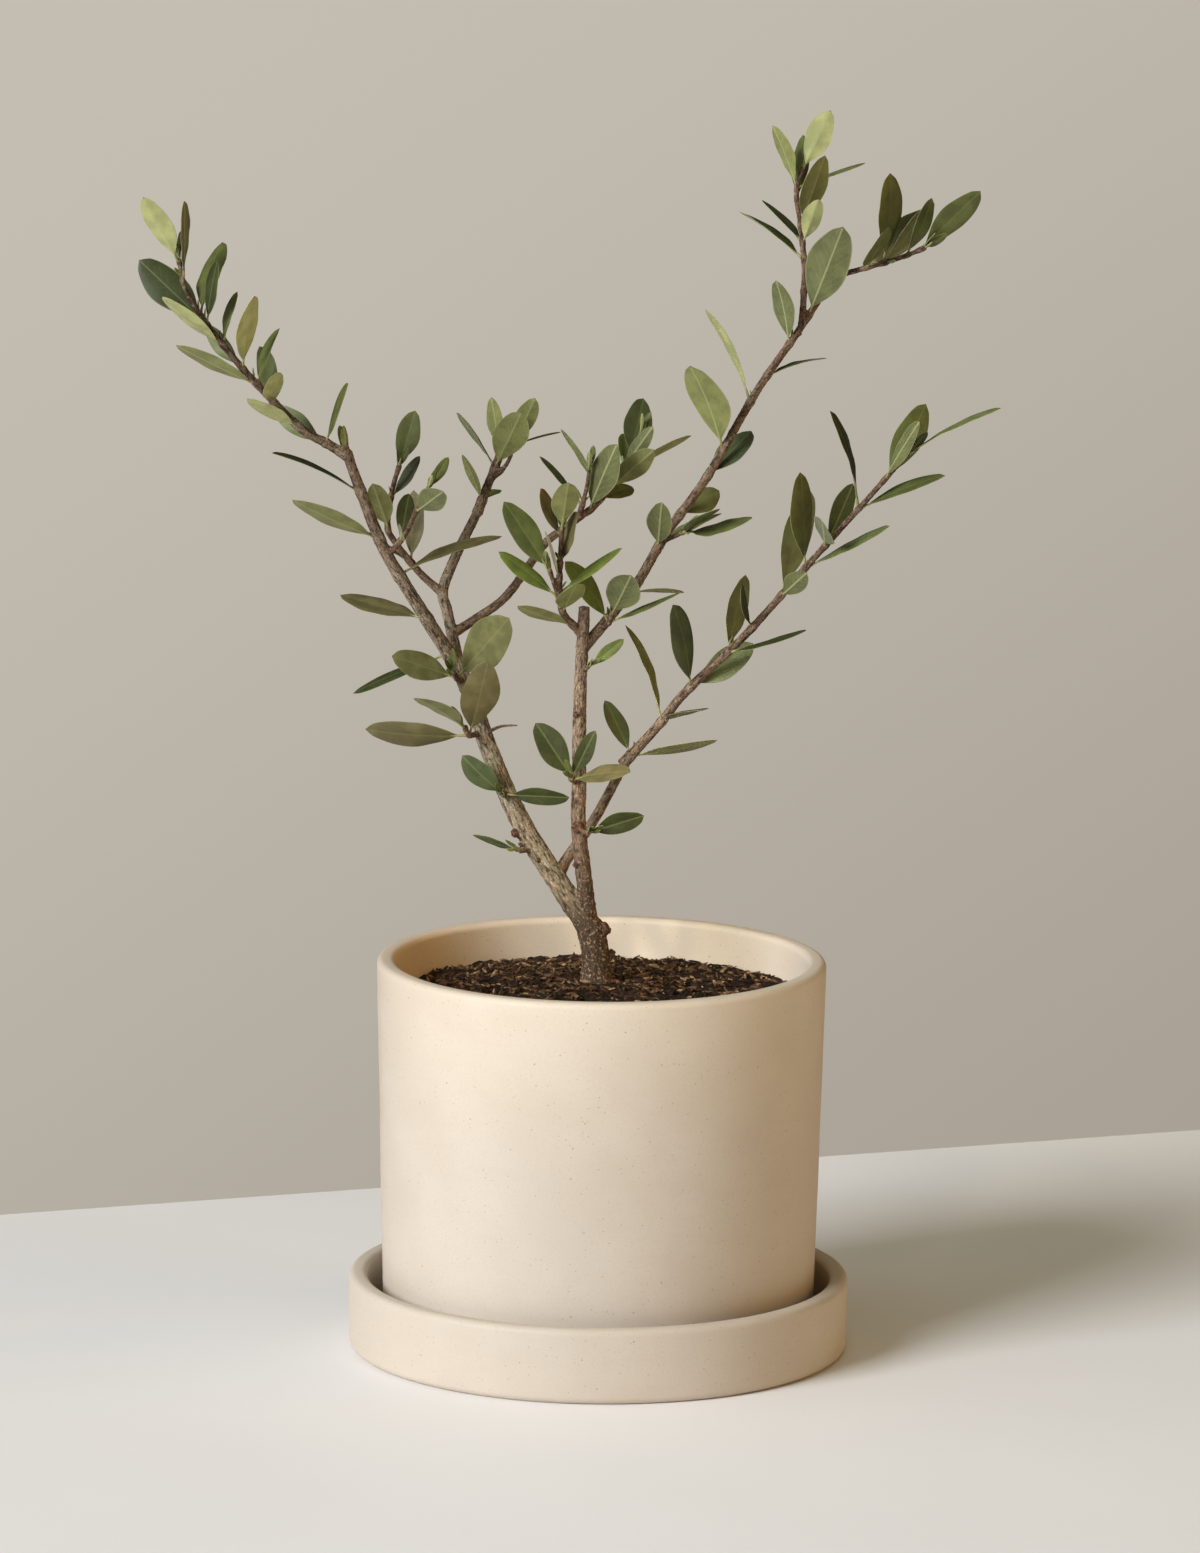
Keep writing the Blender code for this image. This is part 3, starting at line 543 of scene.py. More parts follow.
def clay_material():
    """Matte cream clay with a faint cloudiness and fine brown specks."""
    made, nodes = new_material("speckled_clay")
    place = nodes.place()
    cloud = nodes.ramp(nodes.noise(place, 26.0), 0.35, 0.68)
    banding = nodes.ramp(nodes.noise(nodes.place((0.2, 0.2, 1.0)), 4.0), 0.4, 0.7)
    colour = nodes.mix(cloud, CLAY, CLAY_CLOUD)
    colour = nodes.mix(nodes.times(banding, 0.18), colour, CLAY_BAND)
    grain = nodes.ramp(nodes.noise(place, 0.5, 2.0), 0.5, 0.72, 0.0, 0.3)
    colour = nodes.mix(grain, colour, CLAY_GRAIN)
    for size, wide, share in ((1.6, 0.15, 0.66), (3.6, 0.1, 0.7)):
        chosen = nodes.ramp(nodes.apart(nodes.dots(place, size, "Color"))[0], share, share + 0.02)
        speck = nodes.ramp(nodes.dots(place, size), wide * 0.5, wide, 0.62, 0.0)
        colour = nodes.mix(nodes.times(speck, chosen), colour, CLAY_SPECK)
    waves = nodes.times(nodes.noise(place, 6.0), 1.5)
    height = nodes.math("ADD", nodes.noise(place, 0.7, 4.0), waves)
    roughness = nodes.ramp(cloud, 0.0, 1.0, 0.52, 0.62)
    nodes.finish(colour, roughness, nodes.bump(height, 0.05, 0.6), specular=0.32)
    return made


def bark_pores(nodes, place):
    """Where the finer pores are: in some of the cells, with ragged rims."""
    ripe = nodes.ramp(nodes.apart(nodes.dots(place, PORE_GAP, "Color"))[0], 0.42, 0.44)
    ragged = nodes.times(nodes.noise(place, 0.45), 0.5)
    away = nodes.math("ADD", nodes.dots(place, PORE_GAP), ragged)
    return nodes.times(nodes.ramp(away, 0.36, 0.54, 1.0, 0.0), ripe)


def foot_dark_and_shade(nodes, place, ruddy):
    """How much darker the bark is towards its foot: partly the old bark's own dark, partly painted shade. It
    reaches further up ruddy limbs.
    """
    level = nodes.apart(place)[2]
    foot = nodes.times(nodes.ramp(level, *FOOT_RUDDY, 0.9, 0.0), nodes.ramp(ruddy, 0.1, 0.7))
    return nodes.math("MAXIMUM", foot, nodes.ramp(level, *FOOT_DARK_AND_SHADE, 0.9, 0.0))


def bark_material():
    """Grey-green to red-brown bark with lengthwise cracks and orange pores, darker and golden towards the
    soil, where the dark is partly painted shade.
    """
    made, nodes = new_material("olive_bark")
    age, ruddy, mark = nodes.apart(nodes.attribute("kind", "Vector"))
    grain = nodes.attribute("grain", "Vector")
    place = nodes.place()
    patch = nodes.ramp(nodes.noise(place, 6.0, 4.0), 0.4, 0.62)
    fibre = nodes.noise(grain, 0.7, 4.0, 0.65)
    streak = nodes.ramp(nodes.noise(grain, 0.42, 3.0, 0.6), 0.5, 0.66)
    fleck = nodes.ramp(nodes.noise(place, 0.8, 3.0, 0.7), 0.53, 0.63)
    pore = nodes.math("MAXIMUM", nodes.attribute("pore"), bark_pores(nodes, place))
    grey = nodes.mix(patch, BARK_GREY, BARK_TAN)
    old = nodes.mix(nodes.math("ADD", nodes.times(patch, 0.2), ruddy), grey, BARK_RUDDY)
    old = nodes.mix(nodes.times(streak, 0.8), old, BARK_PALE)
    # Dark with golden flecks towards the soil; the dark is partly painted shade
    old = nodes.mix(foot_dark_and_shade(nodes, place, ruddy), old, nodes.mix(fleck, BARK_DARK, BARK_GOLD))
    young = nodes.mix(patch, BARK_YOUNG, BARK_RED)
    young = nodes.mix(nodes.ramp(nodes.noise(place, 1.1), 0.5, 0.7), young, BARK_BLOOM)
    colour = nodes.mix(nodes.ramp(age, 0.1, 0.5), young, old)
    colour = nodes.mix(nodes.ramp(fibre, 0.36, 0.52, 0.85, 0.0), colour, BARK_CRACK)
    colour = nodes.mix(nodes.ramp(nodes.attribute("crack"), 0.3, 1.0, 0.0, 0.8), colour, BARK_CRACK)
    colour = nodes.mix(nodes.ramp(pore, 0.1, 0.6, 0.0, 0.75), colour, BARK_PORE)
    hurt = nodes.mix(nodes.ramp(nodes.noise(place, 0.7), 0.42, 0.6), SCAR_DARK, SCAR_RED)
    colour = nodes.mix(nodes.ramp(mark, 0.15, 0.85), colour, hurt)
    height = nodes.math("ADD", nodes.times(fibre, nodes.ramp(age, 0.0, 0.7, 0.5, 1.6)), fleck)
    nodes.finish(colour, 0.82, nodes.bump(height, 0.22, 0.8), specular=0.25)
    return made


def soil_material(name, dark, light):
    made, nodes = new_material(name)
    place = nodes.place()
    colour = nodes.mix(nodes.ramp(nodes.noise(place, 1.6, 4.0, 0.7), 0.38, 0.64), dark, light)
    colour = nodes.mix(nodes.ramp(nodes.noise(place, 0.5, 3.0), 0.6, 0.75, 0.0, 0.7), colour, SOIL_GLINT)
    nodes.finish(colour, 0.9, nodes.bump(nodes.noise(place, 0.6, 4.0, 0.7), 0.4), specular=0.12)
    return made


def blade_material(tint, upper_or_under):
    """One side of a leaf: its two greens, its midrib, side veins, margin and withered tip."""
    made, nodes = new_material(f"{tint}_{upper_or_under}")
    green = getattr(TINTS[tint], upper_or_under)
    side = SIDES[upper_or_under]
    place = nodes.place()
    across, along, share = nodes.apart(nodes.attribute("blade", "Vector"))
    off_rib = nodes.math("ABSOLUTE", across)
    lighter = tuple(side.lighter * part for part in green)
    colour = nodes.mix(nodes.ramp(nodes.noise(place, 5.0), 0.36, 0.64), green, lighter)
    speckle = nodes.ramp(nodes.noise(place, 0.42, 2.0, 0.7), 0.4, 0.66)
    colour = nodes.mix(nodes.times(speckle, side.speckle), colour, side.edge)
    slant = nodes.math("SUBTRACT", along, nodes.times(off_rib, 1.25))
    wander = nodes.math("ADD", slant, nodes.times(nodes.noise(place, 3.0), 1.6))
    out = nodes.attribute("edge")
    vein = nodes.ramp(nodes.math("PINGPONG", wander, 1.3), 0.0, 0.3, side.vein, 0.0)
    vein = nodes.times(vein, nodes.ramp(out, 0.55, 0.9, 1.0, 0.0))
    colour = nodes.mix(vein, colour, side.rib)
    colour = nodes.mix(nodes.ramp(off_rib, 0.12, 0.36, side.midrib, 0.0), colour, side.rib)
    colour = nodes.mix(nodes.ramp(out, 0.9, 0.99, 0.0, side.margin), colour, side.edge)
    colour = nodes.mix(nodes.ramp(share, 0.975, 0.995), colour, LEAF_WITHERED)
    sunk = nodes.times(vein, -2.0)
    nodes.finish(colour, side.roughness, nodes.bump(sunk, 0.06), sheen=side.sheen, specular=0.3)
    return made


def stalk_material():
    made, nodes = new_material("leaf_stalk")
    patch = nodes.ramp(nodes.noise(nodes.place(), 2.2), 0.38, 0.62)
    nodes.finish(nodes.mix(patch, STALK_GREEN, STALK_PALE), 0.55)
    return made


def dense(profile, step):
    """The profile with points added on its long straight runs."""
    points = [profile[0]]
    for start, end in zip(profile, profile[1:]):
        count = max(1, round(math.dist(start, end) / step))
        points += [tuple(row) for row in np.linspace(start, end, count + 1)[1:]]
    return points


def revolve(profile, steps, stray):
    """Points and faces of a profile turned round the pot's axis; stray gives each point its lift and push."""
    radius, height = np.array(profile).T
    turns = np.linspace(0, 2 * math.pi, steps, endpoint=False)
    points = np.empty((len(profile), steps, 3))
    points[..., 0] = radius[:, None] * np.cos(turns)
    points[..., 1] = radius[:, None] * np.sin(turns)
    points[..., 2] = height[:, None]
    return stray(points).reshape(-1, 3), grid_faces(len(profile), steps, closed=True)[:, ::-1]


def thrown(points):
    """The slight unevenness of a hand-made wall."""
    out = np.hypot(points[..., 0], points[..., 1])
    push = np.array([[noise.noise(p * (0.03, 0.03, 0.05)) for p in ring] for ring in points])
    share = 1 + THROWN_BY * (push - 1) * np.minimum(out / 40, 1) / np.maximum(out, 1)
    points[..., :2] *= share[..., None]
    return points


def weld(piece):
    """Merges points that lie in one place, such as those in the middle of a turned shape."""
    work = bmesh.new()
    work.from_mesh(piece.data)
    bmesh.ops.remove_doubles(work, verts=work.verts, dist=WELD)
    work.to_mesh(piece.data)
    work.free()


def make_vessel(name, vessel, node, clay):
    points, faces = revolve(dense(vessel_profile(vessel), RING_GAP), TURNED_STEPS, thrown)
    piece = make_piece(name, points, faces, [clay])
    weld(piece)
    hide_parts(node)


def soil_height(x, y):
    """The soil's top at a place, clods and all."""
    out = math.hypot(x, y)
    drop = np.interp(out, *zip(*SOIL_FALL))
    clods = sum(high * noise.noise((x / size, y / size, size)) for size, high in SOIL_LUMPS)
    return SOIL_TOP - drop + clods * np.interp(out, (4, 9), (0.3, 1.0))


def make_soil():
    """The bed of soil: a rough top that meets the pot's wall, and a plain underside."""
    rim = inner_radius(POT, SOIL_TOP) + SOIL_INTO_WALL
    rings = [(radius, 0.0) for radius in np.linspace(0.0, rim, SOIL_RINGS)]

    def heap(points):
        top = [[soil_height(x, y) for x, y, _ in ring] for ring in points[:SOIL_RINGS]]
        points[:SOIL_RINGS, :, 2] = top
        return points

    profile = [*rings, (rim, SOIL_TOP - SOIL_DEPTH), (0.0, SOIL_TOP - SOIL_DEPTH)]
    points, faces = revolve(profile, SOIL_STEPS, heap)
    fines = soil_material("soil_fines", *CHIPS["dark"])
    piece = make_piece("soil_bed", points, faces, [fines])
    weld(piece)
    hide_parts("soil")


def nugget():
    """Points and faces of a rough round of twelve points."""
    golden = (1 + math.sqrt(5)) / 2
    corners = [(0, a, b * golden) for a in (-1, 1) for b in (-1, 1)]
    points = [np.roll(corner, turn) for turn in (0, -1, 1) for corner in corners]
    points = np.array(points) / math.hypot(1, golden)
    faces = []
    for face in itertools.combinations(range(12), 3):
        a, b, c = points[list(face)]
        if max(math.dist(a, b), math.dist(b, c), math.dist(c, a)) < NUGGET_EDGE:
            faces.append(face if np.cross(b - a, c - a).dot(a) > 0 else face[::-1])
    return points, np.array(faces)


def random_turn(rng):
    """A rotation that leaves a long chip nearly flat."""
    turn = Matrix.Rotation(rng.uniform(0, 2 * math.pi), 3, "Z")
    turn = turn @ Matrix.Rotation(rng.gauss(0, CHIP_TILT), 3, "Y")
    return np.array(turn @ Matrix.Rotation(rng.uniform(0, 2 * math.pi), 3, "X"))


def make_chips():
    """Bark chips, crumbs and flecks of moss, strewn over the soil."""
    rng = random.Random(CHIP_SEED)
    base, base_faces = nugget()
    rim = inner_radius(POT, SOIL_TOP)
    kinds = list(CHIPS)
    points, faces, finishes = [], [], []
    for number in range(CHIP_COUNT + MOSS_COUNT):
        kind = "moss" if number >= CHIP_COUNT else rng.choice(CHIP_KINDS)
        length = rng.triangular(*CHIP_LENGTH, CHIP_LENGTH[0]) * (MOSS_SIZE if kind == "moss" else 1)
        size = length / 2 * np.array([1, rng.uniform(*CHIP_WIDTH), rng.uniform(*CHIP_WIDTH)])
        out = (rim - size[0]) * math.sqrt(rng.uniform(0.004, 1.0))
        turn = rng.gauss(*MOSS_PLACE) if kind == "moss" else rng.uniform(0, 2 * math.pi)
        x, y = out * math.cos(turn), out * math.sin(turn)
        rough = base * [[rng.uniform(*CHIP_ROUGH)] for _ in base] * size
        lift = rng.uniform(*CHIP_LIFT) * size[1]
        faces.append(base_faces + len(points) * len(base))
        points.append(rough @ random_turn(rng).T + (x, y, soil_height(x, y) + lift))
        finishes += [kinds.index(kind)] * len(base_faces)
    materials = [soil_material(f"chips_{kind}", *CHIPS[kind]) for kind in kinds]
    points, faces = np.concatenate(points), np.concatenate(faces)
    piece = make_piece("soil_chips", points, faces, materials, finishes)
    piece.data.shade_flat()


Spine = namedtuple("Spine", "places tangents sides fronts reach radii mark ruddy")


def make_spine(path, radii, mark=0.0, ruddy=0.5):
    """A limb's line with a steady frame along it, for its rings and for the bark's grain."""
    tangents = np.gradient(path, axis=0)
    tangents /= norm(tangents, axis=1)[:, None]
    sides = []
    side = np.cross(tangents[0], (0.31, 0.95, 0.02))
    for tangent in tangents:
        side = unit(side - tangent * side.dot(tangent))
        sides.append(side)
    sides = np.array(sides)
    even = np.ones(len(path))
    fronts = np.cross(tangents, sides)
    return Spine(path, tangents, sides, fronts, reach_of(path), radii, mark * even, ruddy * even)


def ring_points(places, sides, fronts, radii, count):
    """Rings of points round a line, each in the plane of its side and its front."""
    turns = np.linspace(0, 2 * math.pi, count, endpoint=False)[None, :, None]
    rings = np.cos(turns) * np.atleast_2d(sides)[:, None] + np.sin(turns) * np.atleast_2d(fronts)[:, None]
    return (places[:, None] + rings * radii[:, None, None]).reshape(-1, 3)


def collar(reach):
    """How much wider a limb is at each point near its foot."""
    return 1 + COLLAR * np.exp(-reach / COLLAR_LENGTH)


def limb_spine(limb):
    """The line of the trunk, with a flare at its foot, or of a bough, with a collar at its own."""
    route = [*limb.route]
    if limb.name == "trunk":
        route.insert(0, (*limb.route[0][:2], limb.route[0][2] - ROOT_DEPTH))
    path = smooth_path(route, RING_STEP)
    reach = reach_of(path)
    radii = radii_along(path, limb.foot, limb.tip)
    if limb.name == "trunk":
        radii += FLARE * np.exp(-np.maximum(reach - ROOT_DEPTH, 0) / FLARE_HEIGHT)
    else:
        radii *= collar(reach)
    return make_spine(path, radii, ruddy=RUDDY.get(limb.name, RUDDY_TWIG))


def shoot_spine(shoot):
    """The line of a stem or twig, thicker at its foot and where its leaves stand."""
    path = smooth_path(shoot.route, RING_STEP)
    reach = reach_of(path)
    radii = radii_along(path, shoot.foot, shoot.tip) * collar(reach)
    for pair, seed in enumerate(shoot.seeds):
        spot = pair_spot(shoot, path, pair, random.Random(seed))
        radii += NODE_SWELL * np.exp(-(((reach - spot) / NODE_LENGTH) ** 2))
    return make_spine(path, radii)


def mark_spine(mark):
    """The line of a stub, scar, knob or dry twig, set out from the limb that bears it."""
    bearers = {spray.name: spray.shoots[0] for spray in SPRAYS} | {limb.name: limb for limb in LIMBS}
    point, tangent = spot_on(smooth_path(bearers[mark.limb].route, RING_STEP), mark.reach)
    outward = outward_at(tangent, math.radians(mark.turn))
    rise = math.radians(mark.rise)
    way = (tangent * math.cos(rise) + outward * math.sin(rise)) * mark.length
    route = [point, point + way / 2 + UP * DRY_SAG * (mark.kind == "dry"), point + way]
    path = smooth_path(route, RING_STEP / 2)
    return make_spine(path, radii_along(path, mark.foot, mark.tip), MARK_SHADE[mark.kind])


def tubes(spines):
    """One mesh with a closed tube round each line."""
    points, faces, start = [], [], 0
    for spine in spines:
        points.append(ring_points(spine.places, spine.sides, spine.fronts, spine.radii, RING_SIDES))
        rings = len(spine.places)
        tube = grid_faces(rings, RING_SIDES, start, closed=True).tolist()
        foot = range(start, start + RING_SIDES)
        start += rings * RING_SIDES
        faces += [*tube, foot[::-1], range(start - RING_SIDES, start)]
    mesh = bpy.data.meshes.new("rough_wood")
    mesh.from_pydata((np.concatenate(points) * MM).tolist(), [], faces)
    return mesh


def fused(mesh):
    """One smooth skin over all the tubes of a mesh."""
    block = add_object("rough_wood", mesh)
    remesh = block.modifiers.new("fuse", "REMESH")
    remesh.mode = "VOXEL"
    remesh.voxel_size = VOXEL * MM
    block.modifiers.new("smooth", "SMOOTH").iterations = SMOOTHING
    graph = bpy.context.evaluated_depsgraph_get()
    skin = bpy.data.meshes.new_from_object(block.evaluated_get(graph), depsgraph=graph)
    bpy.data.objects.remove(block)
    return skin


def read_vectors(data, key, count):
    values = np.empty(count * 3, np.float32)
    data.foreach_get(key, values)
    return values.reshape(-1, 3).astype(float)


def bark_relief(grain, place, radius, mark):
    """At a point of the bark: how far it stands out, how deep its crack is and how ripe its pore."""
    age = min(radius / OLD_RADIUS, 1.0)
    broad, fine = noise.noise(grain * 0.85), noise.noise(grain * 2.1)
    crack = max(0.0, 1 - 4.5 * abs(broad)) * 0.7 + max(0.0, 1 - 4 * abs(fine)) * 0.45
    lump, rough = noise.noise(place * 0.5), noise.noise(place * 1.7)
    away, cells = noise.voronoi(place / PORE_CELL)
    ripe = noise.cell(cells[0] * 9.7) > 0.0
    pore = max(0.0, 1 - (away[0] * PORE_CELL / PORE_WIDE) ** 2) if ripe else 0.0
    high = 0.2 * age * (lump - crack) + (0.05 + 0.09 * age + 0.3 * mark) * rough + (0.08 + 0.14 * age) * pore
    return high, crack, pore


def nearest_spine(line, places):
    """For each place, the point of the limbs' lines whose skin it is nearest to."""
    tree = kdtree.KDTree(len(line.places))
    for number, place in enumerate(line.places):
        tree.insert(place, number)
    tree.balance()
    found = [tree.find_n(place, NEAREST) for place in places]
    hits = np.array([[hit[1] for hit in row] for row in found])
    depth = np.array([[hit[2] for hit in row] for row in found]) - line.radii[hits]
    return hits[np.arange(len(hits)), depth.argmin(axis=1)]


def make_wood():
    """Trunk, boughs and twigs under one bark, with its relief along each limb's own grain."""
    spines = [*map(limb_spine, LIMBS), *(shoot_spine(shoot) for _, shoot in SHOOTS), *map(mark_spine, MARKS)]
    skin = fused(tubes(spines))
    count = len(skin.vertices)
    places = read_vectors(skin.vertices, "co", count) / MM
    normals = read_vectors(skin.vertex_normals, "vector", count)
    line = Spine(*(np.concatenate(part) for part in zip(*spines)))
    near = nearest_spine(line, places)
    offset = places - line.places[near]
    along = line.reach[near] + (offset * line.tangents[near]).sum(1)
    turn = np.arctan2((offset * line.fronts[near]).sum(1), (offset * line.sides[near]).sum(1))
    radius, marks = line.radii[near], line.mark[near]
    grain = np.stack([radius * np.cos(turn), radius * np.sin(turn), along * GRAIN_STRETCH], 1)
    relief = np.array([bark_relief(*row) for row in zip(grain, places, radius, marks)])
    places += normals * relief[:, :1]
    faces = [tuple(face.vertices) for face in skin.polygons]
    bpy.data.meshes.remove(skin)
    age = np.clip((radius - YOUNG_RADIUS) / (OLD_RADIUS - YOUNG_RADIUS), 0, 1)
    kind = np.stack([age, line.ruddy[near], marks], 1)
    attributes = {"grain": grain, "kind": kind, "crack": relief[:, 1], "pore": relief[:, 2]}
    bark = bark_material()
    piece = make_piece("trunk_boughs_and_twigs", places, faces, [bark], attributes=attributes)
    thin = piece.modifiers.new("thin", "DECIMATE")
    thin.ratio = min(1.0, WOOD_TRIANGLES / (2 * len(faces)))
    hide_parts(*(limb.name for limb in LIMBS))


def smooth_path(route, step):
    """Points about a step apart on one smooth curve through all the route's points."""
    route = np.array(route, float)
    knots = [2 * route[0] - route[1], *route, 2 * route[-1] - route[-2]]
    path = []
    for a, b, c, d in zip(knots, knots[1:], knots[2:], knots[3:]):
        count = max(1, round(norm(c - b) / step))
        for t in np.arange(count) / count:
            path.append(b + t * (c - a + t * (2 * a - 5 * b + 4 * c - d + t * (3 * b - 3 * c + d - a))) / 2)
    return np.array([*path, route[-1]])


def reach_of(path):
    """How far along the path each of its points is."""
    return np.concatenate([[0.0], np.cumsum(norm(np.diff(path, axis=0), axis=1))])


def spot_on(path, distance):
    """The point at a distance along the path, and the path's direction there."""
    reach = reach_of(path)
    ahead = min(distance + 0.5, reach[-1])
    point, start, end = (
        np.array([np.interp(d, reach, path[:, i]) for i in range(3)]) for d in (distance, ahead - 1.0, ahead)
    )
    return point, unit(end - start)


def unit(vector):
    return vector / norm(vector)


def radii_along(path, foot, tip):
    """A limb's radius at each point of its path: an even taper."""
    reach = reach_of(path)
    return foot + (tip - foot) * reach / reach[-1]


def half_width(share):
    """A leaf's half width at a share of its length, as a share of its greatest half width."""
    blade = np.clip((share - PETIOLE) / (1 - PETIOLE), 0, 1)
    return np.maximum(np.sin(math.pi * blade**1.05) ** (0.85 - 0.3 * blade), PETIOLE_WIDTH)


def middle_of(leaf, share):
    """The way from a leaf's root to its middle line at a share of its length."""
    turned_by = np.radians(leaf.bend) * share / 2
    return (leaf.along * np.cos(turned_by) - leaf.normal * np.sin(turned_by)) * share * leaf.length


def blade_points(leaf, rows, columns):
    """Points of a leaf's blade in rows from its root to its tip, and columns from edge to edge."""
    share = np.linspace(0, 1, rows + 1)[:, None, None]
    across = np.linspace(-0.5, 0.5, columns + 1)[None, :, None]
    return leaf.root + middle_of(leaf, share) + leaf.across * across * half_width(share) * leaf.width


def outward_at(tangent, turn):
    """The way out from a stem, by an angle round it from the front."""
    front = unit(FRONT - tangent * FRONT.dot(tangent))
    return front * math.cos(turn) + np.cross(tangent, front) * math.sin(turn)


def set_leaf(point, tangent, turn, rise, roll, size, shape, bend):
    """A leaf on its stem: turned round it from the front, raised from it, and rolled about its own line."""
    turn, rise, roll = np.radians((turn, rise, roll))
    outward = outward_at(tangent, turn)
    along = unit(tangent * math.cos(rise) + outward * math.sin(rise) + UP * LIFT)
    flat = unit(tangent - along * tangent.dot(along))
    across = np.cross(flat, along)
    normal = flat * math.cos(roll) + across * math.sin(roll)
    return Leaf(point + outward * 0.2, along, np.cross(normal, along), normal, size, size * shape, bend)


def is_apart(points, leaves, gap):
    """Whether points keep a gap from the leaves that are near them."""
    near = [other for other in leaves if norm(other.mean(0) - points.mean(0)) < LEAVES_NEAR]
    return all(norm(points[:, None] - other, axis=2).min() > gap for other in near)


def is_clear(foot, points, wood, leaves, name):
    """Whether a leaf keeps off the other leaves and all wood. Its foot may sit on its own piece's wood."""
    starts, ends, radii, owners = wood
    line = ends - starts
    offset = np.concatenate([foot, points])[:, None] - starts
    share = np.clip((offset * line).sum(2) / (line * line).sum(1), 0, 1)
    touching = norm(offset - share[..., None] * line, axis=2) < radii + WOOD_CLEAR
    touching[: len(foot), owners == name] = False
    return not touching.any() and is_apart(points, leaves, LEAF_CLEAR)


def pair_spot(shoot, path, pair, rng):
    """How far along its shoot a pair of leaves stands."""
    share = pair / max(1, len(shoot.seeds) - 1)
    span = reach_of(path)[-1] - BARE_TIP - shoot.first
    spot = shoot.first + span * share**CROWDING + rng.uniform(-SPOT_SPREAD, SPOT_SPREAD) * (share < 1)
    return max(spot, FIRST_SPOT)


def pair_place(shoot, path, pair):
    """A pair of leaves by its own seed: its draws, its point, its stem's direction there and its turn."""
    rng = random.Random(shoot.seeds[pair])
    point, tangent = spot_on(path, pair_spot(shoot, path, pair, rng))
    turn = shoot.turn + shoot.twist * pair + rng.uniform(-PAIR_SPREAD, PAIR_SPREAD)
    return rng, point, tangent, turn


def pair_leaves(shoot, path, pair):
    """The two leaves of a pair, each as set_leaf takes it."""
    rng, point, tangent, pair_turn = pair_place(shoot, path, pair)
    share = pair / max(1, len(shoot.seeds) - 1)
    for side in (0, 180):
        turn = pair_turn + side + rng.uniform(-TURN_SPREAD, TURN_SPREAD)
        rise = shoot.rise + (RISE_AT_TIP - shoot.rise) * share**2 + rng.gauss(0, RISE_SPREAD)
        roll = rng.gauss(0, ROLL_SPREAD)
        size = shoot.leaf * rng.uniform(*LENGTH_SPREAD)
        shape = rng.uniform(*WIDTH_SPREAD)
        bend = rng.uniform(*BEND_SPREAD)
        if rng.random() > FALLEN:
            yield point, tangent, turn, rise, roll, size, shape, bend


def shoot_leaves(name, shoot, wood, leaves):
    """The leaves of one shoot. One that would touch a limb or a leaf turns a little, or is left out."""
    path = smooth_path(shoot.route, STEM_STEP)
    grown = []
    for pair in range(len(shoot.seeds)):
        for point, tangent, turn, *form in pair_leaves(shoot, path, pair):
            for nudge in NUDGES:
                leaf = set_leaf(point, tangent, turn + nudge, *form)
                rows = blade_points(leaf, TEST_ROWS, TEST_COLUMNS)
                foot, points = (part.reshape(-1, 3) for part in (rows[:TEST_FROM], rows[TEST_FROM:]))
                if is_clear(foot, points, wood, leaves, name):
                    leaves.append(points)
                    grown.append(leaf)
                    break
    return grown


def all_wood():
    """Every stretch of every limb and stem: its two ends, its radius and the piece that it belongs to."""
    starts, ends, radii, owners = [], [], [], []
    for name, limb in [*((limb.name, limb) for limb in LIMBS), *SHOOTS]:
        path = smooth_path(limb.route, STEM_STEP)
        starts.append(path[:-1])
        ends.append(path[1:])
        radii.append(radii_along(path, limb.foot, limb.tip)[:-1])
        owners.append(np.full(len(path) - 1, name))
    return tuple(np.concatenate(part) for part in (starts, ends, radii, owners))


class Bunch:
    """Points, faces and finishes of many small shapes that become one piece."""

    def __init__(self):
        self.parts = []
        self.count = 0

    def add(self, points, faces, kinds, blade=0.0, edge=0.0):
        kinds = np.broadcast_to(kinds, len(faces))
        blade = np.broadcast_to(blade, (len(points), 3))
        edge = np.broadcast_to(edge, len(points))
        self.parts.append((points, faces + self.count, kinds, blade, edge))
        self.count += len(points)

    def make(self, name, materials):
        points, faces, kinds, blade, edge = (np.concatenate(part) for part in zip(*self.parts))
        attributes = {"blade": blade, "edge": edge}
        piece = make_piece(name, points, faces, materials, kinds, attributes)
        piece.data.set_sharp_from_angle(angle=SHARP)
        return piece


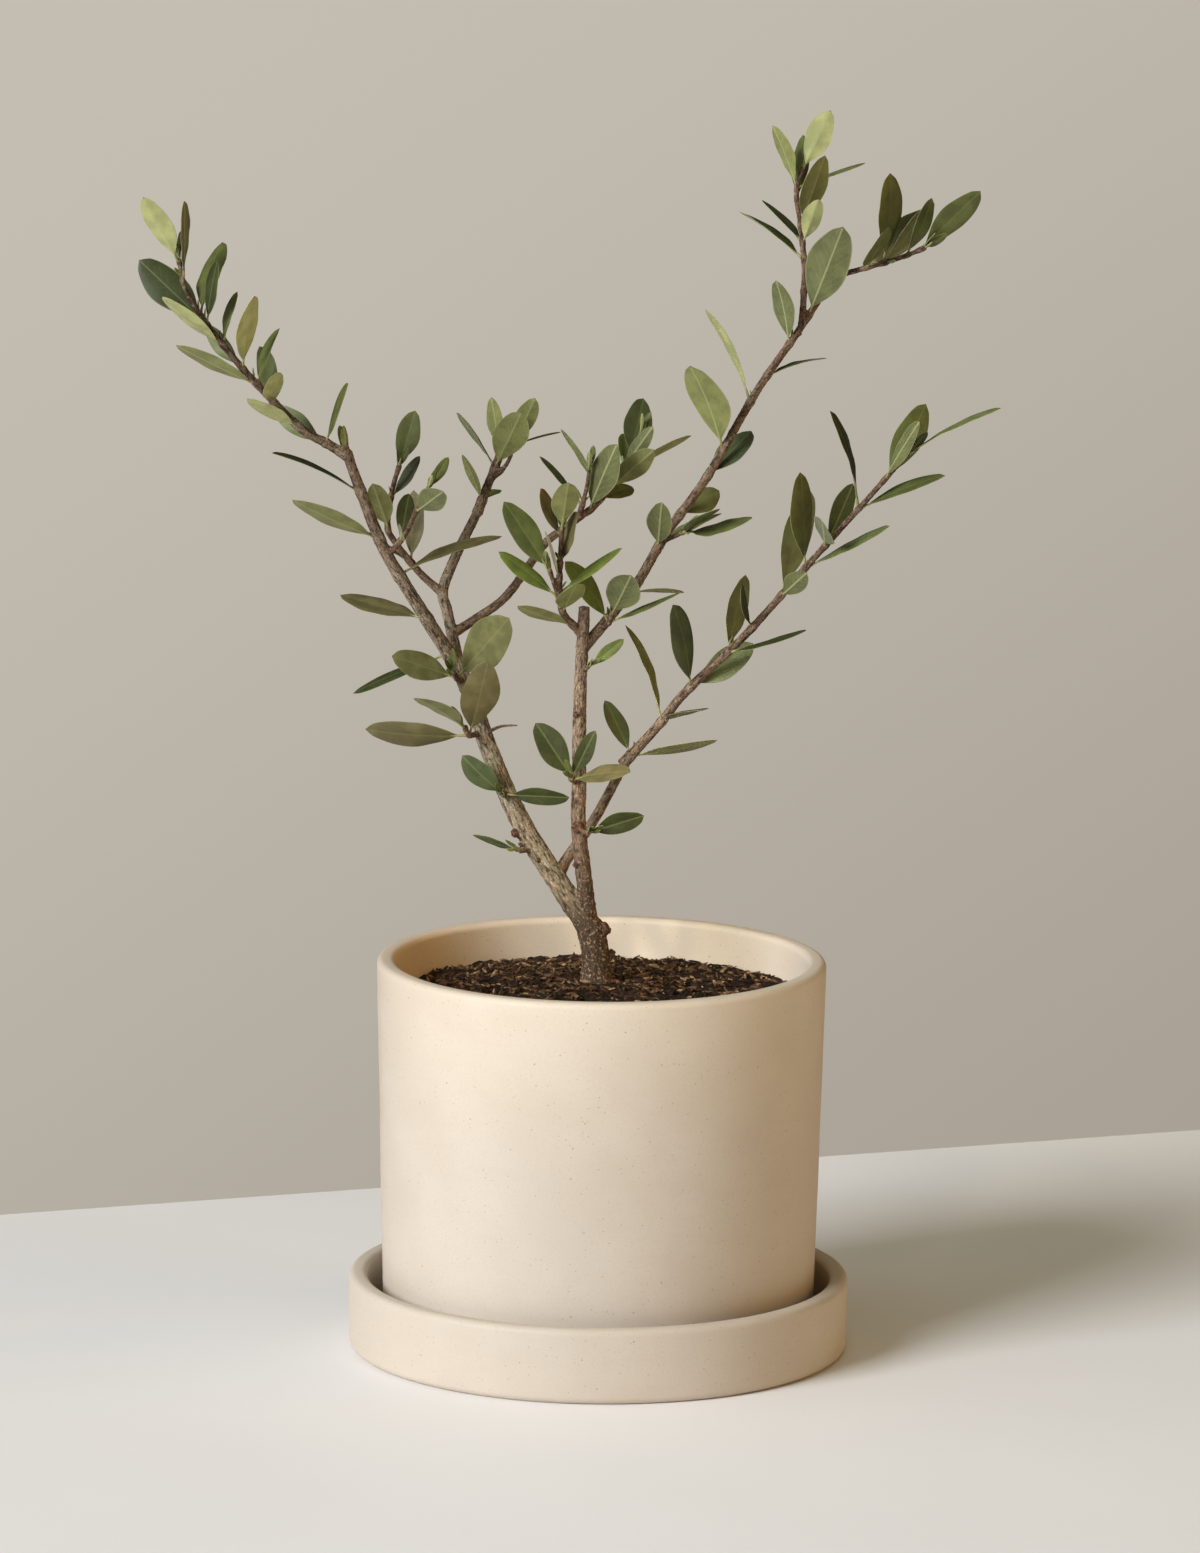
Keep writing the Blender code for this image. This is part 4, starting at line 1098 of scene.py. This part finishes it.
def blade_sides(leaf, rng):
    """Rows of points of a blade's upper side and its underside, and each point's place on the blade.

    The blade has a curl, a twist and a wavy margin, a groove over its midrib and a ridge under it.
    """
    cup, wave, twist, phase = (rng.uniform(*spread) for spread in BLADE_SPREADS)
    share = PETIOLE + (1 - PETIOLE) * (1 - np.cos(np.linspace(0, math.pi, BLADE_ROWS + 1))) / 2
    share = share[:, None, None]
    across = np.array(BLADE_ACROSS)[None, :, None]
    body = np.minimum(1, (1 - share) / TIP_TAPER + 0.02)
    half = np.minimum(half_width(share), 1) * body**0.5 * leaf.width / 2
    off_rib = across * half * (1 + UNEVEN * np.sin(share * 9 + phase) * np.sign(across))
    turned_by = np.radians(twist) * (share - 0.4)
    side = leaf.across * np.cos(turned_by) + leaf.normal * np.sin(turned_by)
    top = leaf.normal * np.cos(turned_by) - leaf.across * np.sin(turned_by)
    rolled = MARGIN_ROLL * np.maximum(np.abs(across) - MARGIN_FROM, 0) / (1 - MARGIN_FROM)
    ripple = wave * np.abs(across) * np.sin(share * RIPPLES + phase + across) * (1 - share)
    middle = leaf.root + middle_of(leaf, share) + side * off_rib
    middle = middle + top * half * (cup * across**2 + ripple - rolled)
    thick = (BLADE_EDGE + (BLADE_THICK - BLADE_EDGE) * (1 - across**2)) * body / 2
    rib = RIB_HIGH * np.exp(-((off_rib / RIB_WIDE) ** 2)) * np.minimum(1, (1.03 - share) * 1.6)
    place = np.concatenate(np.broadcast_arrays(off_rib, share * leaf.length, share), axis=-1)
    return middle + top * (thick - GROOVE * rib), middle - top * (thick + rib), place


def add_blade(bunch, leaf, rng, tint):
    """A leaf's blade as one closed mesh: its two sides, joined all round by its margin."""
    upper, under, place = blade_sides(leaf, rng)
    rows, columns = place.shape[:2]
    count = rows * columns
    number = np.arange(count).reshape(rows, columns)
    rim = [*number[:, 0], *number[-1, 1:], *number[-2::-1, -1], *number[0, -2:0:-1]]
    margin = [(b, a, a + count, b + count) for a, b in zip(rim, rim[1:] + rim[:1])]
    sheet = grid_faces(rows, columns)
    faces = np.concatenate([sheet[:, ::-1], sheet + count, margin])
    kinds = tint + (np.arange(len(faces)) >= len(sheet))
    edge = np.tile(np.abs(BLADE_ACROSS), rows)
    points = np.concatenate([upper, under]).reshape(-1, 3)
    bunch.add(points, faces, kinds, np.tile(place.reshape(-1, 3), (2, 1)), np.tile(edge, 2))


def add_petiole(bunch, leaf, kind):
    """The stalk that runs from the stem into the leaf's midrib."""
    share = np.linspace(-0.01, PETIOLE + 0.08, PETIOLE_RINGS)[:, None]
    path = leaf.root + middle_of(leaf, share)
    radii = np.interp(share[:, 0], (0, PETIOLE, PETIOLE + 0.08), (1.0, 0.72, 0.2)) * stalk_radius(leaf)
    points = ring_points(path, leaf.across, leaf.normal, radii, PETIOLE_SIDES)
    cap = np.array(PETIOLE_CAP)
    tube = grid_faces(PETIOLE_RINGS, PETIOLE_SIDES, closed=True)
    faces = np.concatenate([tube, cap[:, ::-1], cap + (PETIOLE_RINGS - 1) * PETIOLE_SIDES])
    bunch.add(points, faces, kind)


def stalk_radius(leaf):
    return PETIOLE_RADIUS * min(1.0, 0.35 + leaf.length / 34)


def add_leaf(bunch, leaf, rng, tint, stalk):
    """A leaf's blade, in a tint's two finishes, and its stalk."""
    add_blade(bunch, leaf, rng, tint)
    add_petiole(bunch, leaf, stalk)


def tip_leaves(shoot, rng):
    """The youngest leaves, at a shoot's end, which are finer than the solids show."""
    path = smooth_path(shoot.route, STEM_STEP)
    point, tangent = spot_on(path, reach_of(path)[-1])
    turn = rng.uniform(0, 180)
    for share, rise, side in TIP_LEAVES:
        bend = rng.uniform(*TIP_BEND)
        shape = rng.uniform(*TIP_WIDTH)
        roll = rng.gauss(0, TIP_ROLL)
        size = share * shoot.leaf
        yield set_leaf(point - tangent * TIP_BACK, tangent, turn + side, rise, roll, size, shape, bend)


def buds(shoot):
    """The twin small leaves in the crook of each pair."""
    path = smooth_path(shoot.route, STEM_STEP)
    for pair in range(len(shoot.seeds)):
        rng, point, tangent, turn = pair_place(shoot, path, pair)
        for side in (0, 180):
            size, rise = rng.uniform(*BUD_LENGTH), rng.uniform(*BUD_RISE)
            if rng.random() < BUD_SHARE:
                yield set_leaf(point + tangent * BUD_ABOVE, tangent, turn + side, rise, 0.0, size, *BUD_FORM)


def make_sprays():
    """The leaves of every spray as one piece each, in the spray's own tints."""
    wood, leaves = all_wood(), []
    greens = {name: [blade_material(name, side) for side in SIDES] for name in TINTS}
    stalk = stalk_material()
    for number, spray in enumerate(SPRAYS, SPRAY_SEED):
        rng, dealer = random.Random(number), random.Random(spray.seed)
        bunch = Bunch()
        deal = spray.tints.split()
        tints = sorted({*deal, "young"})
        finishes = [side for tint in tints for side in greens[tint]]
        for shoot in spray.shoots:
            for leaf in shoot_leaves(spray.name, shoot, wood, leaves):
                add_leaf(bunch, leaf, rng, 2 * tints.index(dealer.choice(deal)), len(finishes))
            for leaf in (*tip_leaves(shoot, rng), *buds(shoot)):
                points = blade_points(leaf, 6, 2)[2:].reshape(-1, 3)
                if is_apart(points, leaves, SMALL_CLEAR):
                    add_leaf(bunch, leaf, rng, 2 * tints.index("young"), len(finishes))
        piece = bunch.make(f"{spray.name}_leaves", [*finishes, stalk])
        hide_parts(spray.name)


def make_table():
    """The pale table, a slab whose far edge lies at a slant behind the pot."""
    size = Vector((TABLE_SIZE, TABLE_SIZE, TABLE_THICK)) * MM
    middle = Vector((0, TABLE_BEHIND * MM - size.y / 2, -size.z / 2))
    slant = Matrix.Rotation(TABLE_EDGE_SLOPE, 4, "Z")
    block = bmesh.new()
    bmesh.ops.create_cube(block, size=1.0, matrix=slant @ Matrix.LocRotScale(middle, None, size))
    mesh = bpy.data.meshes.new("table")
    block.to_mesh(mesh)
    block.free()
    mesh.materials.append(table_material())
    slab = add_object("table", mesh)
    slab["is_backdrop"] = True


def table_material():
    made, nodes = new_material("pale_table")
    cloud = nodes.noise(nodes.place(), 160.0, 2.0)
    colour = nodes.mix(nodes.ramp(cloud, 0.35, 0.65), TABLE_PALE, TABLE_WARM)
    nodes.finish(colour, 0.7, nodes.bump(nodes.noise(nodes.place(), 0.8, 3.0), 0.02), specular=0.25)
    return made


def light_room():
    """The wall that the camera sees, the light that the room gives back, and the lamps."""
    world = bpy.data.worlds.new("room")
    bpy.context.scene.world = world
    nodes = Nodes(world)
    toward = nodes.apart(nodes.add("TexCoord", "Generated", {}))
    level = nodes.math("ADD", toward[2], nodes.times(toward[0], -0.7))
    wall = nodes.mix(nodes.ramp(level, *WALL_FADE), WALL_LOW, WALL_HIGH)
    seen = nodes.add("LightPath", "Is Camera Ray", {})
    nodes.put(nodes.tree.nodes["Background"].inputs["Color"], nodes.mix(seen, ROOM_LIGHT, wall))
    for lamp in LAMPS:
        add_lamp(lamp, "AREA").size = lamp.size * MM
    for lamp in INSIDE_LAMPS:
        inside = add_lamp(lamp, "SPOT")
        inside.spot_size = INSIDE_CONE
        inside.spot_blend = 1.0
        inside.shadow_soft_size = lamp.size * MM / 2


def add_lamp(lamp, kind):
    """Adds a lamp that points at its aim, and returns its settings."""
    data = bpy.data.lights.new(lamp.name, kind)
    data.energy = lamp.power
    data.color = lamp.colour
    made = add_object(lamp.name, data)
    made.location = Vector(lamp.place) * MM
    made.rotation_euler = (Vector(lamp.aim) * MM - made.location).to_track_quat("-Z", "Y").to_euler()
    return data


def place_camera():
    """The camera, turned about the room's upright, tilted down, and rolled about its own line of sight."""
    data = bpy.data.cameras.new("camera")
    data.sensor_width = SENSOR
    data.lens = LENS
    data.clip_end = 100.0
    camera = add_object("camera", data)
    turn = Matrix.Rotation(-CAMERA_TURN, 4, "Z")
    tilt = Matrix.Rotation(math.pi / 2 - CAMERA_DOWN, 4, "X")
    roll = Matrix.Rotation(CAMERA_ROLL, 4, "Z")
    camera.matrix_world = Matrix.Translation(Vector(CAMERA_PLACE) * MM) @ turn @ tilt @ roll
    bpy.context.scene.camera = camera


def main():
    clay = clay_material()
    make_vessel("thrown_saucer", SAUCER, "saucer", clay)
    make_vessel("thrown_pot", POT, "pot", clay)
    make_soil()
    make_chips()
    make_wood()
    make_sprays()
    make_table()
    light_room()
    place_camera()
    bpy.context.scene.view_settings.view_transform = "Standard"
    sizes = [[list(corner) for corner in box] for box in (cad_box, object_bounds())]


main()
